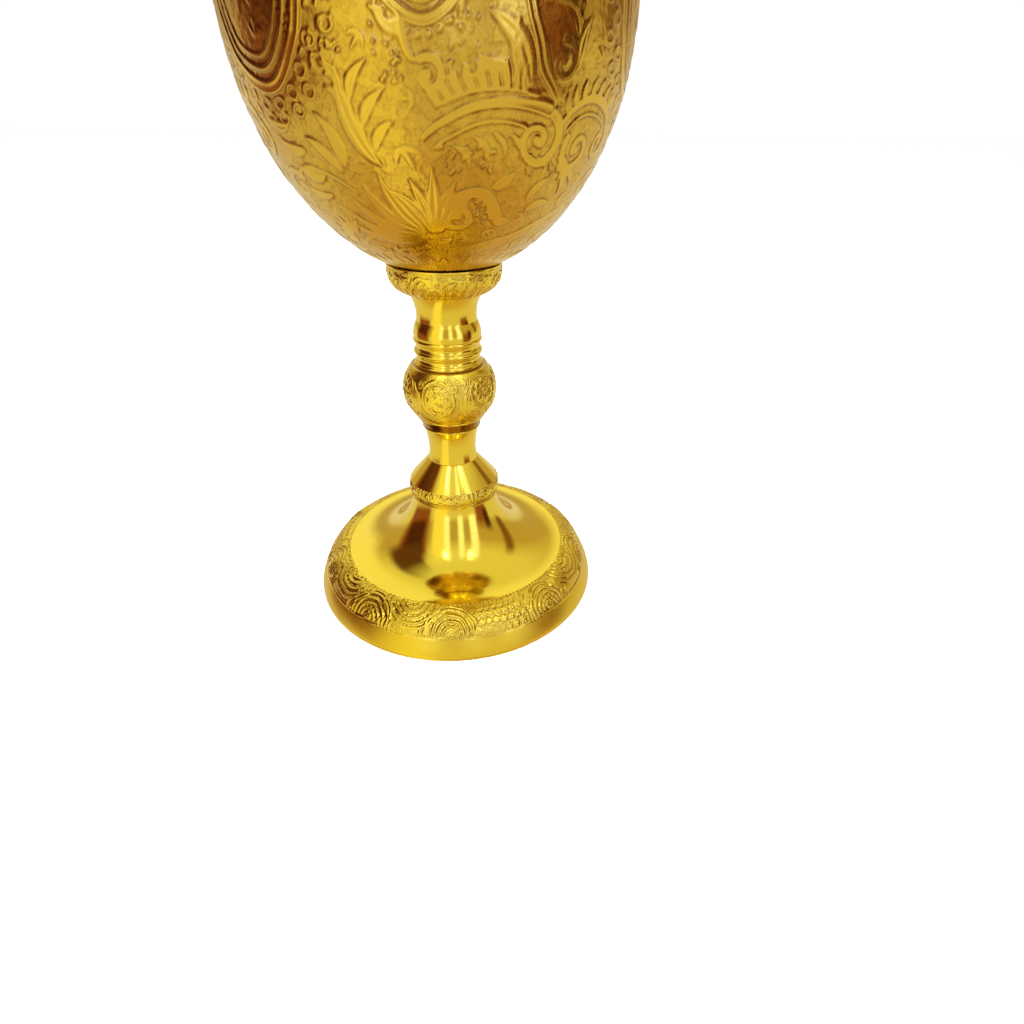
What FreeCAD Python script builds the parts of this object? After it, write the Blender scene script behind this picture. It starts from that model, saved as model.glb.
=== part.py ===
"""Screw-together brass communion chalice, as a parametric FreeCAD document in millimetres.

The chalice is a stack of hollow turned pieces on one tie rod. From the table up: spun foot, bell collar,
lower spool, knop base ring, knop, reeded ring, upper spool and calyx collar, with the bowl on top. The rod
screws into a socket soldered under the bowl, and a nut under the foot pulls the stack tight. Shallow
spigots keep the pieces on one axis. +Z is up, and the origin is the middle of the foot's resting plane.
"""

import FreeCAD, Part

import math
import os

import PartDesign
import Sketcher
from FreeCAD import Vector

DIMENSIONS = {
    # The metal and the fits that several pieces share.
    "sheet_wall": 1.2,
    "cast_wall": 1.6,
    "seat_wall": 1.5,
    "rod_radius": 2.5,
    "rod_gap": 0.1,
    "spigot_gap": 0.05,
    "spigot_depth": 1.5,
    # Foot: a flat-edged skirt, a steep border band, and a trumpet up to the hub.
    "foot_radius": 40.0,
    "foot_edge": 1.0,
    "skirt_top_radius": 38.2,
    "skirt_height": 5.4,
    "skirt_curve": 16.0,
    "skirt_inner_radius": 37.07,
    "skirt_inner_height": 5.0,
    "border_top_radius": 30.8,
    "border_top": 11.0,
    "border_curve": 8.4,
    "trumpet_curve": 19.0,
    "hub_radius": 11.4,
    "hub_height": 27.4,
    "hub_spigot": 8.0,
    "hub_inner_radius": 10.44,
    # Flat ring soldered inside the edge of the foot.
    "base_ring_width": 3.0,
    "base_ring_lift": 0.2,
    # Bell collar: a band at the bottom, and a dome above it.
    "bell_height": 10.5,
    "bell_band_radius": 12.1,
    "bell_band_foot": 0.5,
    "bell_band_top": 4.6,
    "bell_band_curve": 5.0,
    "bell_dome_radius": 11.7,
    "bell_dome_curve": 200.0,
    "bell_seat_radius": 6.8,
    # Lower spool.
    "lower_spool_height": 9.5,
    "lower_spool_bottom": 6.6,
    "lower_spool_top": 7.35,
    "lower_spool_curve": 20.0,
    "small_spigot": 4.5,
    # Knop base ring: a thin lip under a bevel.
    "base_lip_radius": 7.6,
    "base_lip_height": 0.35,
    "base_bevel_bottom": 7.4,
    "base_ring_height": 3.4,
    "knop_seat_radius": 9.0,
    "knop_spigot": 5.5,
    "knop_spigot_depth": 1.0,
    # Knop.
    "knop_height": 13.2,
    "knop_top_radius": 9.4,
    "knop_curve": 9.8,
    "knop_core_radius": 9.0,
    # Reeded ring.
    "reed_height": 6.8,
    "reed_radius": 8.3,
    "reed_groove_width": 1.9,
    "reed_first_groove": 1.0,
    "reed_pitch": 2.9,
    "reed_groove_curve": 1.23,
    "reed_edge": 0.2,
    # Upper spool: a convex swell with a concave neck above it.
    "upper_spool_height": 10.4,
    "swell_radius": 8.3,
    "swell_top_radius": 7.35,
    "swell_height": 4.0,
    "swell_curve": 6.5,
    "neck_top_radius": 8.8,
    "neck_curve": 10.0,
    "sleeve_radius": 4.6,
    "sleeve_depth": 6.0,
    # Calyx collar: a shallow cup under the bowl.
    "calyx_height": 6.6,
    "calyx_bottom_radius": 8.8,
    "calyx_radius": 13.3,
    "calyx_shoulder": 5.2,
    "calyx_curve": 5.0,
    "calyx_lip": 0.6,
    "calyx_floor": 1.2,
    # Cup washer, and the socket under the bowl.
    "cup_washer_radius": 7.6,
    "cup_washer_thickness": 0.6,
    "flange_radius": 7.8,
    "flange_bevel": 1.2,
    "flange_edge": 2.0,
    "socket_roof": 1.5,
    # Bowl: half an ellipsoid below, and a wall that closes in slightly to the rim.
    "bowl_radius": 38.3,
    "bowl_depth": 46.0,
    "bowl_lift": 4.1,
    "bowl_wall_rise": 40.7,
    "bowl_rim_inset": 1.6,
    "rim_wall": 1.4,
    "rim_round": 0.35,
    # Fastening under the foot.
    "rod_end_gap": 0.5,
    "rod_chamfer": 0.6,
    "rod_below_nut": 2.8,
    "hub_washer_radius": 8.5,
    "hub_washer_thickness": 1.4,
    "spring_washer_radius": 4.4,
    "spring_washer_thickness": 1.2,
    "nut_across_flats": 8.0,
    "nut_height": 4.0,
    "nut_chamfer": 0.6,
    "nut_chamfer_height": 0.36,
}
SPRING_WASHER_TURN = 350.0
SHEET = "Size"


class Length:
    """A length as a number, with the spreadsheet expression that it comes from."""

    def __init__(self, value, text):
        self.value, self.text = value, text

    def __add__(self, other):
        return Length(self.value + other.value, f"({self.text} + {other.text})")

    def __sub__(self, other):
        return Length(self.value - other.value, f"({self.text} - {other.text})")

    def __mul__(self, factor):
        return Length(self.value * factor, f"({self.text} * {factor})")


class Sizes:
    """The spreadsheet's cells as lengths: sizes.foot_radius is the cell with that alias."""

    def __init__(self, doc):
        sheet = doc.addObject("Spreadsheet::Sheet", SHEET)
        for row, (alias, value) in enumerate(DIMENSIONS.items(), start=1):
            sheet.set(f"A{row}", alias)
            sheet.set(f"B{row}", str(value))
            sheet.setAlias(f"B{row}", alias)

    def __getattr__(self, alias):
        return Length(DIMENSIONS[alias], f"{SHEET}.{alias}")


ZERO = Length(0.0, "0")


def new_body(doc, label, height=ZERO):
    """A body that stands on the axis, with its own zero at that height."""
    body = doc.addObject("PartDesign::Body", label)
    body.Label = label
    body.Placement = FreeCAD.Placement(Vector(0, 0, height.value), FreeCAD.Rotation())
    body.setExpression("Placement.Base.z", height.text)
    return body


def upright_sketch(body, name):
    """A sketch on the body's XZ plane, whose x is the radius and whose y is the height."""
    sketch = body.newObject("Sketcher::SketchObject", name)
    plane = next(f for f in body.Origin.OriginFeatures if f.Role == "XZ_Plane")
    sketch.AttachmentSupport = [(plane, "")]
    sketch.MapMode = "FlatFace"
    return sketch


def line(r, z):
    """A straight step of an outline to that radius and height."""
    return {"kind": "line", "to": (r, z)}


def arc(r, z, radius, side):
    """A round step of an outline. It bulges to the side, left or right, of the way it runs."""
    return {"kind": "arc", "to": (r, z), "radius": radius, "side": side}


def ellipse(r, z, across, along, centre):
    """A step of an outline along an upright ellipse on the axis, which has these half widths."""
    return {"kind": "ellipse", "to": (r, z), "across": across, "along": along, "centre": centre}


def point(r, z):
    return Vector(r.value, z.value, 0)


def round_curve(start, end, radius, side):
    """The arc from start to end that bulges to that side of the chord, always drawn anticlockwise."""
    if side == "left":
        start, end = end, start
    chord = end - start
    to_centre = Vector(-chord.y, chord.x, 0).normalize()
    centre = start + chord * 0.5 + to_centre * math.sqrt(radius**2 - (chord.Length / 2) ** 2)
    first, last = (math.atan2(p.y - centre.y, p.x - centre.x) for p in (start, end))
    if last < first:
        last += 2 * math.pi
    return Part.ArcOfCircle(Part.Circle(centre, Vector(0, 0, 1), radius), first, last)


def ellipse_curve(start, end, across, along, centre):
    """The lower right quarter of an upright ellipse on the axis, from start to end either way."""
    middle = Vector(0, centre, 0)
    full = Part.Ellipse(middle - Vector(0, along, 0), middle + Vector(across, 0, 0), middle)
    ends = sorted((full.parameter(start), full.parameter(end)))
    return Part.ArcOfEllipse(full, *ends)


def bind(sketch, kind, references, length):
    """Adds a dimension to the sketch, bound to the spreadsheet."""
    number = sketch.addConstraint(Sketcher.Constraint(kind, *references, length.value))
    sketch.setExpression(f"Constraints[{number}]", length.text)


def place_corner(sketch, corner, r, z, curve):
    """Ties a corner to its radius and height. One of the two is enough for a corner on an ellipse."""
    widest = curve is not None and curve["across"].value == r.value
    if r.value == 0:
        sketch.addConstraint(Sketcher.Constraint("PointOnObject", *corner, -2))
    elif not widest:
        bind(sketch, "DistanceX", (-1, 1, *corner), r)
    if curve is not None and not widest:
        return
    if z.value == 0:
        sketch.addConstraint(Sketcher.Constraint("PointOnObject", *corner, -1))
    else:
        bind(sketch, "DistanceY", (-1, 1, *corner), z)


def bind_ellipse(sketch, geometry, step):
    """Puts an ellipse upright on the axis, with its half widths bound to the spreadsheet."""
    sketch.exposeInternalGeometry(geometry)
    major, minor = geometry + 1, geometry + 2
    sketch.addConstraint(Sketcher.Constraint("PointOnObject", geometry, 3, -2))
    sketch.addConstraint(Sketcher.Constraint("PointOnObject", major, 1, -2))
    bind(sketch, "DistanceY", (-1, 1, geometry, 3), step["centre"])
    bind(sketch, "DistanceY", (major, 1, geometry, 3), step["along"])
    bind(sketch, "DistanceX", (geometry, 3, minor, 1), step["across"])


def draw_step(sketch, start, step):
    """Draws one step of an outline, and returns the references of its first and last ends."""
    a, b = point(*start), point(*step["to"])
    if step["kind"] == "line":
        curve = Part.LineSegment(a, b)
    elif step["kind"] == "arc":
        curve = round_curve(a, b, step["radius"].value, step["side"])
    else:
        curve = ellipse_curve(a, b, step["across"].value, step["along"].value, step["centre"].value)
    geometry = sketch.addGeometry(curve, False)
    if step["kind"] == "arc":
        bind(sketch, "Radius", (geometry,), step["radius"])
    if step["kind"] == "ellipse":
        bind_ellipse(sketch, geometry, step)
    forwards = (curve.StartPoint - a).Length < (curve.EndPoint - a).Length
    ends = [(geometry, 1), (geometry, 2)]
    return ends if forwards else ends[::-1]


def draw_outline(sketch, start, steps):
    """Draws a closed outline from start along the steps and straight back, all bound to the spreadsheet."""
    steps = [*steps, line(*start)]
    corners = [start] + [step["to"] for step in steps[:-1]]
    ends = [draw_step(sketch, corner, step) for corner, step in zip(corners, steps)]
    for index, corner in enumerate(corners):
        sketch.addConstraint(Sketcher.Constraint("Coincident", *ends[index - 1][1], *ends[index][0]))
        curves = [step for step in (steps[index - 1], steps[index]) if step["kind"] == "ellipse"]
        place_corner(sketch, ends[index][0], *corner, curves[0] if curves else None)


def turn(body, kind, name, start, steps, angle=360.0):
    """Turns an outline about the axis, as a Revolution that adds metal or a Groove that cuts it."""
    sketch = upright_sketch(body, f"{name}_outline")
    draw_outline(sketch, start, steps)
    feature = body.newObject(f"PartDesign::{kind}", name)
    feature.Profile = sketch
    feature.ReferenceAxis = (sketch, ["V_Axis"])
    feature.Angle = angle
    body.Document.recompute()
    return feature


def foot(doc, s):
    """Spun foot: skirt, border band and trumpet in one sheet, with a flat hub and a spigot on top."""
    body = new_body(doc, "foot")
    bore = s.rod_radius + s.rod_gap
    under_hub = s.hub_height - s.seat_wall
    turn(
        body,
        "Revolution",
        "shell",
        (s.foot_radius, ZERO),
        [
            line(s.foot_radius, s.foot_edge),
            arc(s.skirt_top_radius, s.skirt_height, s.skirt_curve, "right"),
            arc(s.border_top_radius, s.border_top, s.border_curve, "right"),
            arc(s.hub_radius, s.hub_height, s.trumpet_curve, "left"),
            line(s.hub_spigot, s.hub_height),
            line(s.hub_spigot, s.hub_height + s.spigot_depth),
            line(bore, s.hub_height + s.spigot_depth),
            line(bore, under_hub),
            line(s.hub_inner_radius, under_hub),
            arc(s.border_top_radius, s.border_top - s.sheet_wall, s.trumpet_curve + s.sheet_wall, "right"),
            arc(s.skirt_inner_radius, s.skirt_inner_height, s.border_curve - s.sheet_wall, "left"),
            line(s.foot_radius - s.sheet_wall, s.foot_edge),
            line(s.foot_radius - s.sheet_wall, ZERO),
        ],
    )
    return body


def foot_base_ring(doc, s):
    """Flat ring soldered inside the edge of the foot, which keeps the thin skirt round."""
    body = new_body(doc, "foot_base_ring")
    outer = s.foot_radius - s.sheet_wall
    inner = outer - s.base_ring_width
    turn(
        body,
        "Revolution",
        "ring",
        (outer, s.base_ring_lift),
        [line(outer, s.foot_edge), line(inner, s.foot_edge), line(inner, s.base_ring_lift)],
    )
    return body


def bell_collar(doc, s):
    """Hollow bell on the foot's hub: a band that carries relief, a dome, and a seat for the lower spool."""
    body = new_body(doc, "bell_collar", s.hub_height)
    bore = s.rod_radius + s.rod_gap
    socket = s.small_spigot + s.spigot_gap
    spigot_seat = s.bell_height - s.spigot_depth
    under_seat = spigot_seat - s.seat_wall
    turn(
        body,
        "Revolution",
        "shell",
        (s.bell_band_radius, ZERO),
        [
            line(s.bell_band_radius, s.bell_band_foot),
            arc(s.bell_dome_radius, s.bell_band_top, s.bell_band_curve, "right"),
            arc(s.lower_spool_bottom, s.bell_height, s.bell_dome_curve, "right"),
            line(socket, s.bell_height),
            line(socket, spigot_seat),
            line(bore, spigot_seat),
            line(bore, under_seat),
            line(s.bell_seat_radius, under_seat),
            arc(s.bell_dome_radius - s.cast_wall, s.bell_band_top, s.bell_dome_curve, "left"),
            line(s.bell_dome_radius - s.cast_wall, s.spigot_depth),
            line(s.hub_spigot + s.spigot_gap, s.spigot_depth),
            line(s.hub_spigot + s.spigot_gap, ZERO),
        ],
    )
    return body


def lower_spool(doc, s):
    """Waisted spool between the bell collar and the knop, with a spigot at each end."""
    body = new_body(doc, "lower_spool", s.hub_height + s.bell_height)
    bore = s.rod_radius + s.rod_gap
    top = s.lower_spool_height + s.spigot_depth
    turn(
        body,
        "Revolution",
        "spool",
        (s.lower_spool_bottom, ZERO),
        [
            arc(s.lower_spool_top, s.lower_spool_height, s.lower_spool_curve, "left"),
            line(s.small_spigot, s.lower_spool_height),
            line(s.small_spigot, top),
            line(bore, top),
            line(bore, ZERO - s.spigot_depth),
            line(s.small_spigot, ZERO - s.spigot_depth),
            line(s.small_spigot, ZERO),
        ],
    )
    return body


def knop_base_ring(doc, s):
    """Bevelled ring under the knop, with a thin lip that overhangs the lower spool."""
    body = new_body(doc, "knop_base_ring", s.hub_height + s.bell_height + s.lower_spool_height)
    bore = s.rod_radius + s.rod_gap
    socket = s.small_spigot + s.spigot_gap
    top = s.base_ring_height + s.knop_spigot_depth
    turn(
        body,
        "Revolution",
        "ring",
        (s.base_lip_radius, ZERO),
        [
            line(s.base_lip_radius, s.base_lip_height),
            line(s.base_bevel_bottom, s.base_lip_height),
            line(s.knop_seat_radius, s.base_ring_height),
            line(s.knop_spigot, s.base_ring_height),
            line(s.knop_spigot, top),
            line(bore, top),
            line(bore, s.spigot_depth),
            line(socket, s.spigot_depth),
            line(socket, ZERO),
        ],
    )
    return body


def knop_bottom(s):
    return s.hub_height + s.bell_height + s.lower_spool_height + s.base_ring_height


def knop(doc, s):
    """Hollow egg-shaped knop, open at both ends for the rod, with a shallow socket in each end."""
    body = new_body(doc, "knop", knop_bottom(s))
    bore = s.rod_radius + s.rod_gap
    socket = s.knop_spigot + s.spigot_gap
    floor = s.knop_spigot_depth + s.seat_wall
    roof = s.knop_height - floor
    turn(
        body,
        "Revolution",
        "shell",
        (s.knop_seat_radius, ZERO),
        [
            arc(s.knop_top_radius, s.knop_height, s.knop_curve, "right"),
            line(socket, s.knop_height),
            line(socket, s.knop_height - s.knop_spigot_depth),
            line(bore, s.knop_height - s.knop_spigot_depth),
            line(bore, roof),
            line(s.knop_core_radius, roof),
            arc(s.knop_core_radius, floor, s.knop_curve - s.cast_wall, "left"),
            line(bore, floor),
            line(bore, s.knop_spigot_depth),
            line(socket, s.knop_spigot_depth),
            line(socket, ZERO),
        ],
    )
    return body


def reeded_ring(doc, s):
    """Ring above the knop, with a hollow cut between each of its three reeds."""
    body = new_body(doc, "reeded_ring", knop_bottom(s) + s.knop_height)
    bore = s.rod_radius + s.rod_gap
    bottom = ZERO - s.knop_spigot_depth
    top = s.reed_height + s.knop_spigot_depth
    turn(
        body,
        "Revolution",
        "sleeve",
        (s.reed_radius - s.reed_edge, ZERO),
        [
            line(s.reed_radius, s.reed_edge),
            line(s.reed_radius, s.reed_height - s.reed_edge),
            line(s.reed_radius - s.reed_edge, s.reed_height),
            line(s.knop_spigot, s.reed_height),
            line(s.knop_spigot, top),
            line(bore, top),
            line(bore, bottom),
            line(s.knop_spigot, bottom),
            line(s.knop_spigot, ZERO),
        ],
    )
    plain = body.Shape.Volume
    past = s.reed_radius + s.reed_edge
    groove = turn(
        body,
        "Groove",
        "reed_groove",
        (s.reed_radius, s.reed_first_groove),
        [
            arc(s.reed_radius, s.reed_first_groove + s.reed_groove_width, s.reed_groove_curve, "left"),
            line(past, s.reed_first_groove + s.reed_groove_width),
            line(past, s.reed_first_groove),
        ],
    )
    pattern = body.newObject("PartDesign::LinearPattern", "reed_grooves")
    pattern.Originals = [groove]
    pattern.Direction = (groove.Profile[0], ["V_Axis"])
    pattern.setExpression("Length", s.reed_pitch.text)
    pattern.Occurrences = 2
    body.Tip = pattern
    doc.recompute()
    if body.Shape.Volume >= plain:
        raise ValueError("the reed grooves cut nothing")
    return body


def upper_spool_bottom(s):
    return knop_bottom(s) + s.knop_height + s.reed_height


def upper_spool(doc, s):
    """Swell and neck under the calyx collar. Its wide bore takes the sleeve of the bowl's socket."""
    body = new_body(doc, "upper_spool", upper_spool_bottom(s))
    bore = s.rod_radius + s.rod_gap
    socket = s.knop_spigot + s.spigot_gap
    wide = s.sleeve_radius + s.rod_gap
    step = s.upper_spool_height - s.sleeve_depth
    turn(
        body,
        "Revolution",
        "spool",
        (s.swell_radius, ZERO),
        [
            arc(s.swell_top_radius, s.swell_height, s.swell_curve, "right"),
            arc(s.neck_top_radius, s.upper_spool_height, s.neck_curve, "left"),
            line(wide, s.upper_spool_height),
            line(wide, step),
            line(bore, step),
            line(bore, s.knop_spigot_depth),
            line(socket, s.knop_spigot_depth),
            line(socket, ZERO),
        ],
    )
    return body


def calyx_bottom(s):
    return upper_spool_bottom(s) + s.upper_spool_height


def calyx_collar(doc, s):
    """Shallow cup that the bowl's rounded bottom stands in, with a narrow gap all round at its lip."""
    body = new_body(doc, "calyx_collar", calyx_bottom(s))
    hole = s.sleeve_radius + s.rod_gap
    turn(
        body,
        "Revolution",
        "cup",
        (s.calyx_bottom_radius, ZERO),
        [
            arc(s.calyx_radius, s.calyx_shoulder, s.calyx_curve, "right"),
            line(s.calyx_radius, s.calyx_height),
            line(s.calyx_radius - s.calyx_lip, s.calyx_height),
            line(s.calyx_radius - s.sheet_wall, s.calyx_shoulder),
            arc(s.calyx_bottom_radius, s.calyx_floor, s.calyx_curve - s.sheet_wall, "left"),
            line(hole, s.calyx_floor),
            line(hole, ZERO),
        ],
    )
    return body


def cup_washer(doc, s):
    """Fibre washer between the calyx collar's floor and the socket, which stops the bowl turning."""
    body = new_body(doc, "cup_washer", calyx_bottom(s) + s.calyx_floor)
    hole = s.sleeve_radius + s.rod_gap
    turn(
        body,
        "Revolution",
        "washer",
        (s.cup_washer_radius, ZERO),
        [
            line(s.cup_washer_radius, s.cup_washer_thickness),
            line(hole, s.cup_washer_thickness),
            line(hole, ZERO),
        ],
    )
    return body


def ellipse_height(across, along, centre, r):
    """The height of an upright ellipse's lower half at that radius, where the sketch starts from."""
    height = centre.value - along.value * math.sqrt(1 - (r.value / across.value) ** 2)
    return Length(height, f"{height}")


def bowl_socket(doc, s):
    """Threaded socket soldered under the bowl: a bevelled flange, and a sleeve down the stem."""
    flange_bottom = calyx_bottom(s) + s.calyx_floor + s.cup_washer_thickness
    body = new_body(doc, "bowl_socket", flange_bottom)
    bowl_bottom = s.bowl_lift - s.calyx_floor - s.cup_washer_thickness
    sleeve = ZERO - (s.sleeve_depth - s.sheet_wall)
    centre = bowl_bottom + s.bowl_depth
    on_bowl = ellipse_height(s.bowl_radius, s.bowl_depth, centre, s.flange_radius)
    roof = bowl_bottom - s.socket_roof
    turn(
        body,
        "Revolution",
        "socket",
        (s.rod_radius, sleeve),
        [
            line(s.sleeve_radius, sleeve),
            line(s.sleeve_radius, ZERO),
            line(s.flange_radius - s.flange_bevel, ZERO),
            line(s.flange_radius, s.flange_edge),
            line(s.flange_radius, on_bowl),
            ellipse(ZERO, bowl_bottom, s.bowl_radius, s.bowl_depth, centre),
            line(ZERO, roof),
            line(s.rod_radius, roof),
        ],
    )
    return body


def bowl(doc, s):
    """Raised bowl: an egg-shaped sheet wall, closed at the bottom, with a rounded rim."""
    body = new_body(doc, "bowl", calyx_bottom(s) + s.bowl_lift)
    wall = s.sheet_wall
    rise, inset = DIMENSIONS["bowl_wall_rise"], DIMENSIONS["bowl_rim_inset"]
    side = Length(
        (rise**2 + inset**2) / (2 * inset),
        f"(({SHEET}.bowl_wall_rise^2 + {SHEET}.bowl_rim_inset^2) / (2 * {SHEET}.bowl_rim_inset))",
    )
    rim = s.bowl_depth + s.bowl_wall_rise
    rim_outside = s.bowl_radius - s.bowl_rim_inset
    rim_inside = rim_outside - s.rim_wall
    shoulder = rim - s.rim_round
    turn(
        body,
        "Revolution",
        "shell",
        (ZERO, ZERO),
        [
            ellipse(s.bowl_radius, s.bowl_depth, s.bowl_radius, s.bowl_depth, s.bowl_depth),
            arc(rim_outside, shoulder, side, "right"),
            arc(rim_outside - s.rim_round, rim, s.rim_round, "right"),
            line(rim_inside + s.rim_round, rim),
            arc(rim_inside, shoulder, s.rim_round, "right"),
            arc(s.bowl_radius - wall, s.bowl_depth, side, "left"),
            ellipse(ZERO, wall, s.bowl_radius - wall, s.bowl_depth - wall, s.bowl_depth),
        ],
    )
    return body


def hub_underside(s):
    return s.hub_height - s.seat_wall


def hub_washer(doc, s):
    """Plain washer that spreads the nut's load over the thin hub."""
    body = new_body(doc, "hub_washer", hub_underside(s) - s.hub_washer_thickness)
    bore = s.rod_radius + s.rod_gap
    turn(
        body,
        "Revolution",
        "washer",
        (s.hub_washer_radius, ZERO),
        [
            line(s.hub_washer_radius, s.hub_washer_thickness),
            line(bore, s.hub_washer_thickness),
            line(bore, ZERO),
        ],
    )
    return body


def nut_top(s):
    return hub_underside(s) - s.hub_washer_thickness - s.spring_washer_thickness


def spring_washer(doc, s):
    """Split spring washer over the nut, drawn flat as it lies when the nut is tight."""
    body = new_body(doc, "spring_washer", nut_top(s))
    bore = s.rod_radius + s.rod_gap
    turn(
        body,
        "Revolution",
        "washer",
        (s.spring_washer_radius, ZERO),
        [
            line(s.spring_washer_radius, s.spring_washer_thickness),
            line(bore, s.spring_washer_thickness),
            line(bore, ZERO),
        ],
        SPRING_WASHER_TURN,
    )
    return body


def foot_nut(doc, s):
    """Hexagon nut on the rod's lower end, with its six corners chamfered at both faces."""
    body = new_body(doc, "foot_nut", nut_top(s) - s.nut_height)
    hexagon = body.newObject("PartDesign::AdditivePrism", "hexagon")
    hexagon.Polygon = 6
    hexagon.setExpression("Circumradius", f"{s.nut_across_flats.text} / 2 / cos(30 deg)")
    hexagon.setExpression("Height", s.nut_height.text)
    thread = body.newObject("PartDesign::SubtractiveCylinder", "thread")
    thread.setExpression("Radius", s.rod_radius.text)
    thread.setExpression("Height", s.nut_height.text)
    doc.recompute()
    plain = body.Shape.Volume
    flats = s.nut_across_flats * 0.5
    past = flats + s.nut_chamfer
    for name, face, inside in (
        ("lower_chamfer", ZERO, s.nut_chamfer_height),
        ("upper_chamfer", s.nut_height, s.nut_height - s.nut_chamfer_height),
    ):
        turn(body, "Groove", name, (flats, face), [line(past, face), line(past, inside)])
    if body.Shape.Volume >= plain:
        raise ValueError("the nut's chamfers cut nothing")
    return body


def tie_rod(doc, s):
    """Threaded rod through the whole stack, drawn at the thread's outer size with chamfered ends."""
    bottom = nut_top(s) - s.nut_height - s.rod_below_nut
    top = calyx_bottom(s) + s.bowl_lift - s.socket_roof - s.rod_end_gap
    body = new_body(doc, "tie_rod", bottom)
    length = top - bottom
    end = s.rod_radius - s.rod_chamfer
    turn(
        body,
        "Revolution",
        "rod",
        (ZERO, ZERO),
        [
            line(end, ZERO),
            line(s.rod_radius, s.rod_chamfer),
            line(s.rod_radius, length - s.rod_chamfer),
            line(end, length),
            line(ZERO, length),
        ],
    )
    return body


PIECES = (
    foot,
    foot_base_ring,
    bell_collar,
    lower_spool,
    knop_base_ring,
    knop,
    reeded_ring,
    upper_spool,
    calyx_collar,
    cup_washer,
    bowl_socket,
    bowl,
    hub_washer,
    spring_washer,
    foot_nut,
    tie_rod,
)


def check_document(doc, bodies):
    """Stops before anything is written if an object failed, or a piece isn't one valid solid."""
    failed = [o.Name for o in doc.Objects if {"Invalid", "Error"} & set(o.State)]
    if failed:
        raise ValueError(f"these objects failed to compute: {failed}")
    for body in bodies:
        shape = body.Shape
        if shape.isNull() or not shape.isValid() or len(shape.Solids) != 1:
            raise ValueError(f"{body.Label} isn't one valid solid")


def main():
    doc = FreeCAD.newDocument("Chalice")
    sizes = Sizes(doc)
    doc.recompute()
    bodies = [make(doc, sizes) for make in PIECES]
    doc.recompute()
    check_document(doc, bodies)
    os.makedirs("parts", exist_ok=True)
    for body in bodies:
        body.Shape.exportStep(f"parts/{body.Label}.step")
        box = body.Shape.BoundBox
        spans = f"z {box.ZMin:7.2f} to {box.ZMax:7.2f}  r {box.XMax:6.2f}"
        print(f"{body.Label:16s} {body.Shape.Volume:9.1f} mm3  {spans}")


main()
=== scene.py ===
"""Looks of the gilt communion chalice: turned pieces with real relief, gold plate, and a pale studio.

Lengths inside the pieces are in millimetres, and meshes are written in metres. Every outline is (radius,
height) and is turned about the Z axis. Relief is a height field over one repeat of a band, drawn with
strokes and beads, where x is degrees round the axis and y is millimetres along the wall.
"""

import math

import bpy
import numpy as np
from mathutils import Matrix, Vector


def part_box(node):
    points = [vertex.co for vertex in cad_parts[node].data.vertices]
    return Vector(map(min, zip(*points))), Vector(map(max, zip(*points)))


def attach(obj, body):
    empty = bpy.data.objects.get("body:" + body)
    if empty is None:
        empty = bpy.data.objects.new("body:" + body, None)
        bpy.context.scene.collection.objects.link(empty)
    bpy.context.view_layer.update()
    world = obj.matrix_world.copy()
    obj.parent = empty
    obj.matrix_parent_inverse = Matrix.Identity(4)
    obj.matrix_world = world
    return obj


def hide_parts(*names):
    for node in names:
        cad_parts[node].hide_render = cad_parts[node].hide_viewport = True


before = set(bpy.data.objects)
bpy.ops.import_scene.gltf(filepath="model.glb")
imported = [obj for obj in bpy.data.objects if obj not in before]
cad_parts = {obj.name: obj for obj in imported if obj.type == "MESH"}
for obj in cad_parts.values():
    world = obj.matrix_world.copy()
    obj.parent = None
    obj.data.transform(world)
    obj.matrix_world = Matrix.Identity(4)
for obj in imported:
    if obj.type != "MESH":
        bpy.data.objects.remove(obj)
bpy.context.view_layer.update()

MM = 0.001

# Places from the frame -------------------


def low(node):
    """The height of a node's lowest point, in mm."""
    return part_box(node)[0][2] / MM


def high(node):
    """The height of a node's highest point, in mm."""
    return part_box(node)[1][2] / MM


def reach(node):
    """A round node's largest radius, in mm."""
    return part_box(node)[1][0] / MM


# Outlines --------------------------------


def line(r, z, step=1.2, corner=0.15, tag=""):
    """A straight step of an outline to that radius and height, with a rounded corner at its end."""
    return {"kind": "line", "to": (r, z), "step": step, "corner": corner, "tag": tag}


def arc(r, z, radius, side, step=0.4, corner=0.15, tag=""):
    """A round step that bulges to the side, left or right, of the way it runs."""
    return {**line(r, z, step, corner, tag), "kind": "arc", "radius": radius, "side": side}


def ellipse(r, z, across, along, centre, step=0.5, corner=0.15, tag=""):
    """A step along the lower right quarter of an upright ellipse on the axis."""
    shape = {"kind": "ellipse", "across": across, "along": along, "centre": centre}
    return {**line(r, z, step, corner, tag), **shape}


TRACE_POINTS = 600
CORNER_SHARE = 0.4


def trace(start, step):
    """Closely spaced points along one step of an outline."""
    a, b = np.array(start, float), np.array(step["to"], float)
    t = np.linspace(0, 1, TRACE_POINTS)[:, None]
    if step["kind"] == "line":
        return a + (b - a) * t
    if step["kind"] == "arc":
        chord = b - a
        length = np.hypot(*chord)
        side = 1 if step["side"] == "left" else -1
        normal = side * np.array([-chord[1], chord[0]]) / length
        centre = (a + b) / 2 - normal * math.sqrt(step["radius"] ** 2 - length**2 / 4)
        first, last = (math.atan2(p[1] - centre[1], p[0] - centre[0]) for p in (a, b))
        turn = (last - first + math.pi) % (2 * math.pi) - math.pi
        angle = first + turn * t[:, 0]
        return centre + step["radius"] * np.column_stack([np.cos(angle), np.sin(angle)])
    first, last = (math.asin(min(1, p[0] / step["across"])) for p in (a, b))
    angle = first + (last - first) * t[:, 0]
    r = step["across"] * np.sin(angle)
    return np.column_stack([r, step["centre"] - step["along"] * np.cos(angle)])


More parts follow.
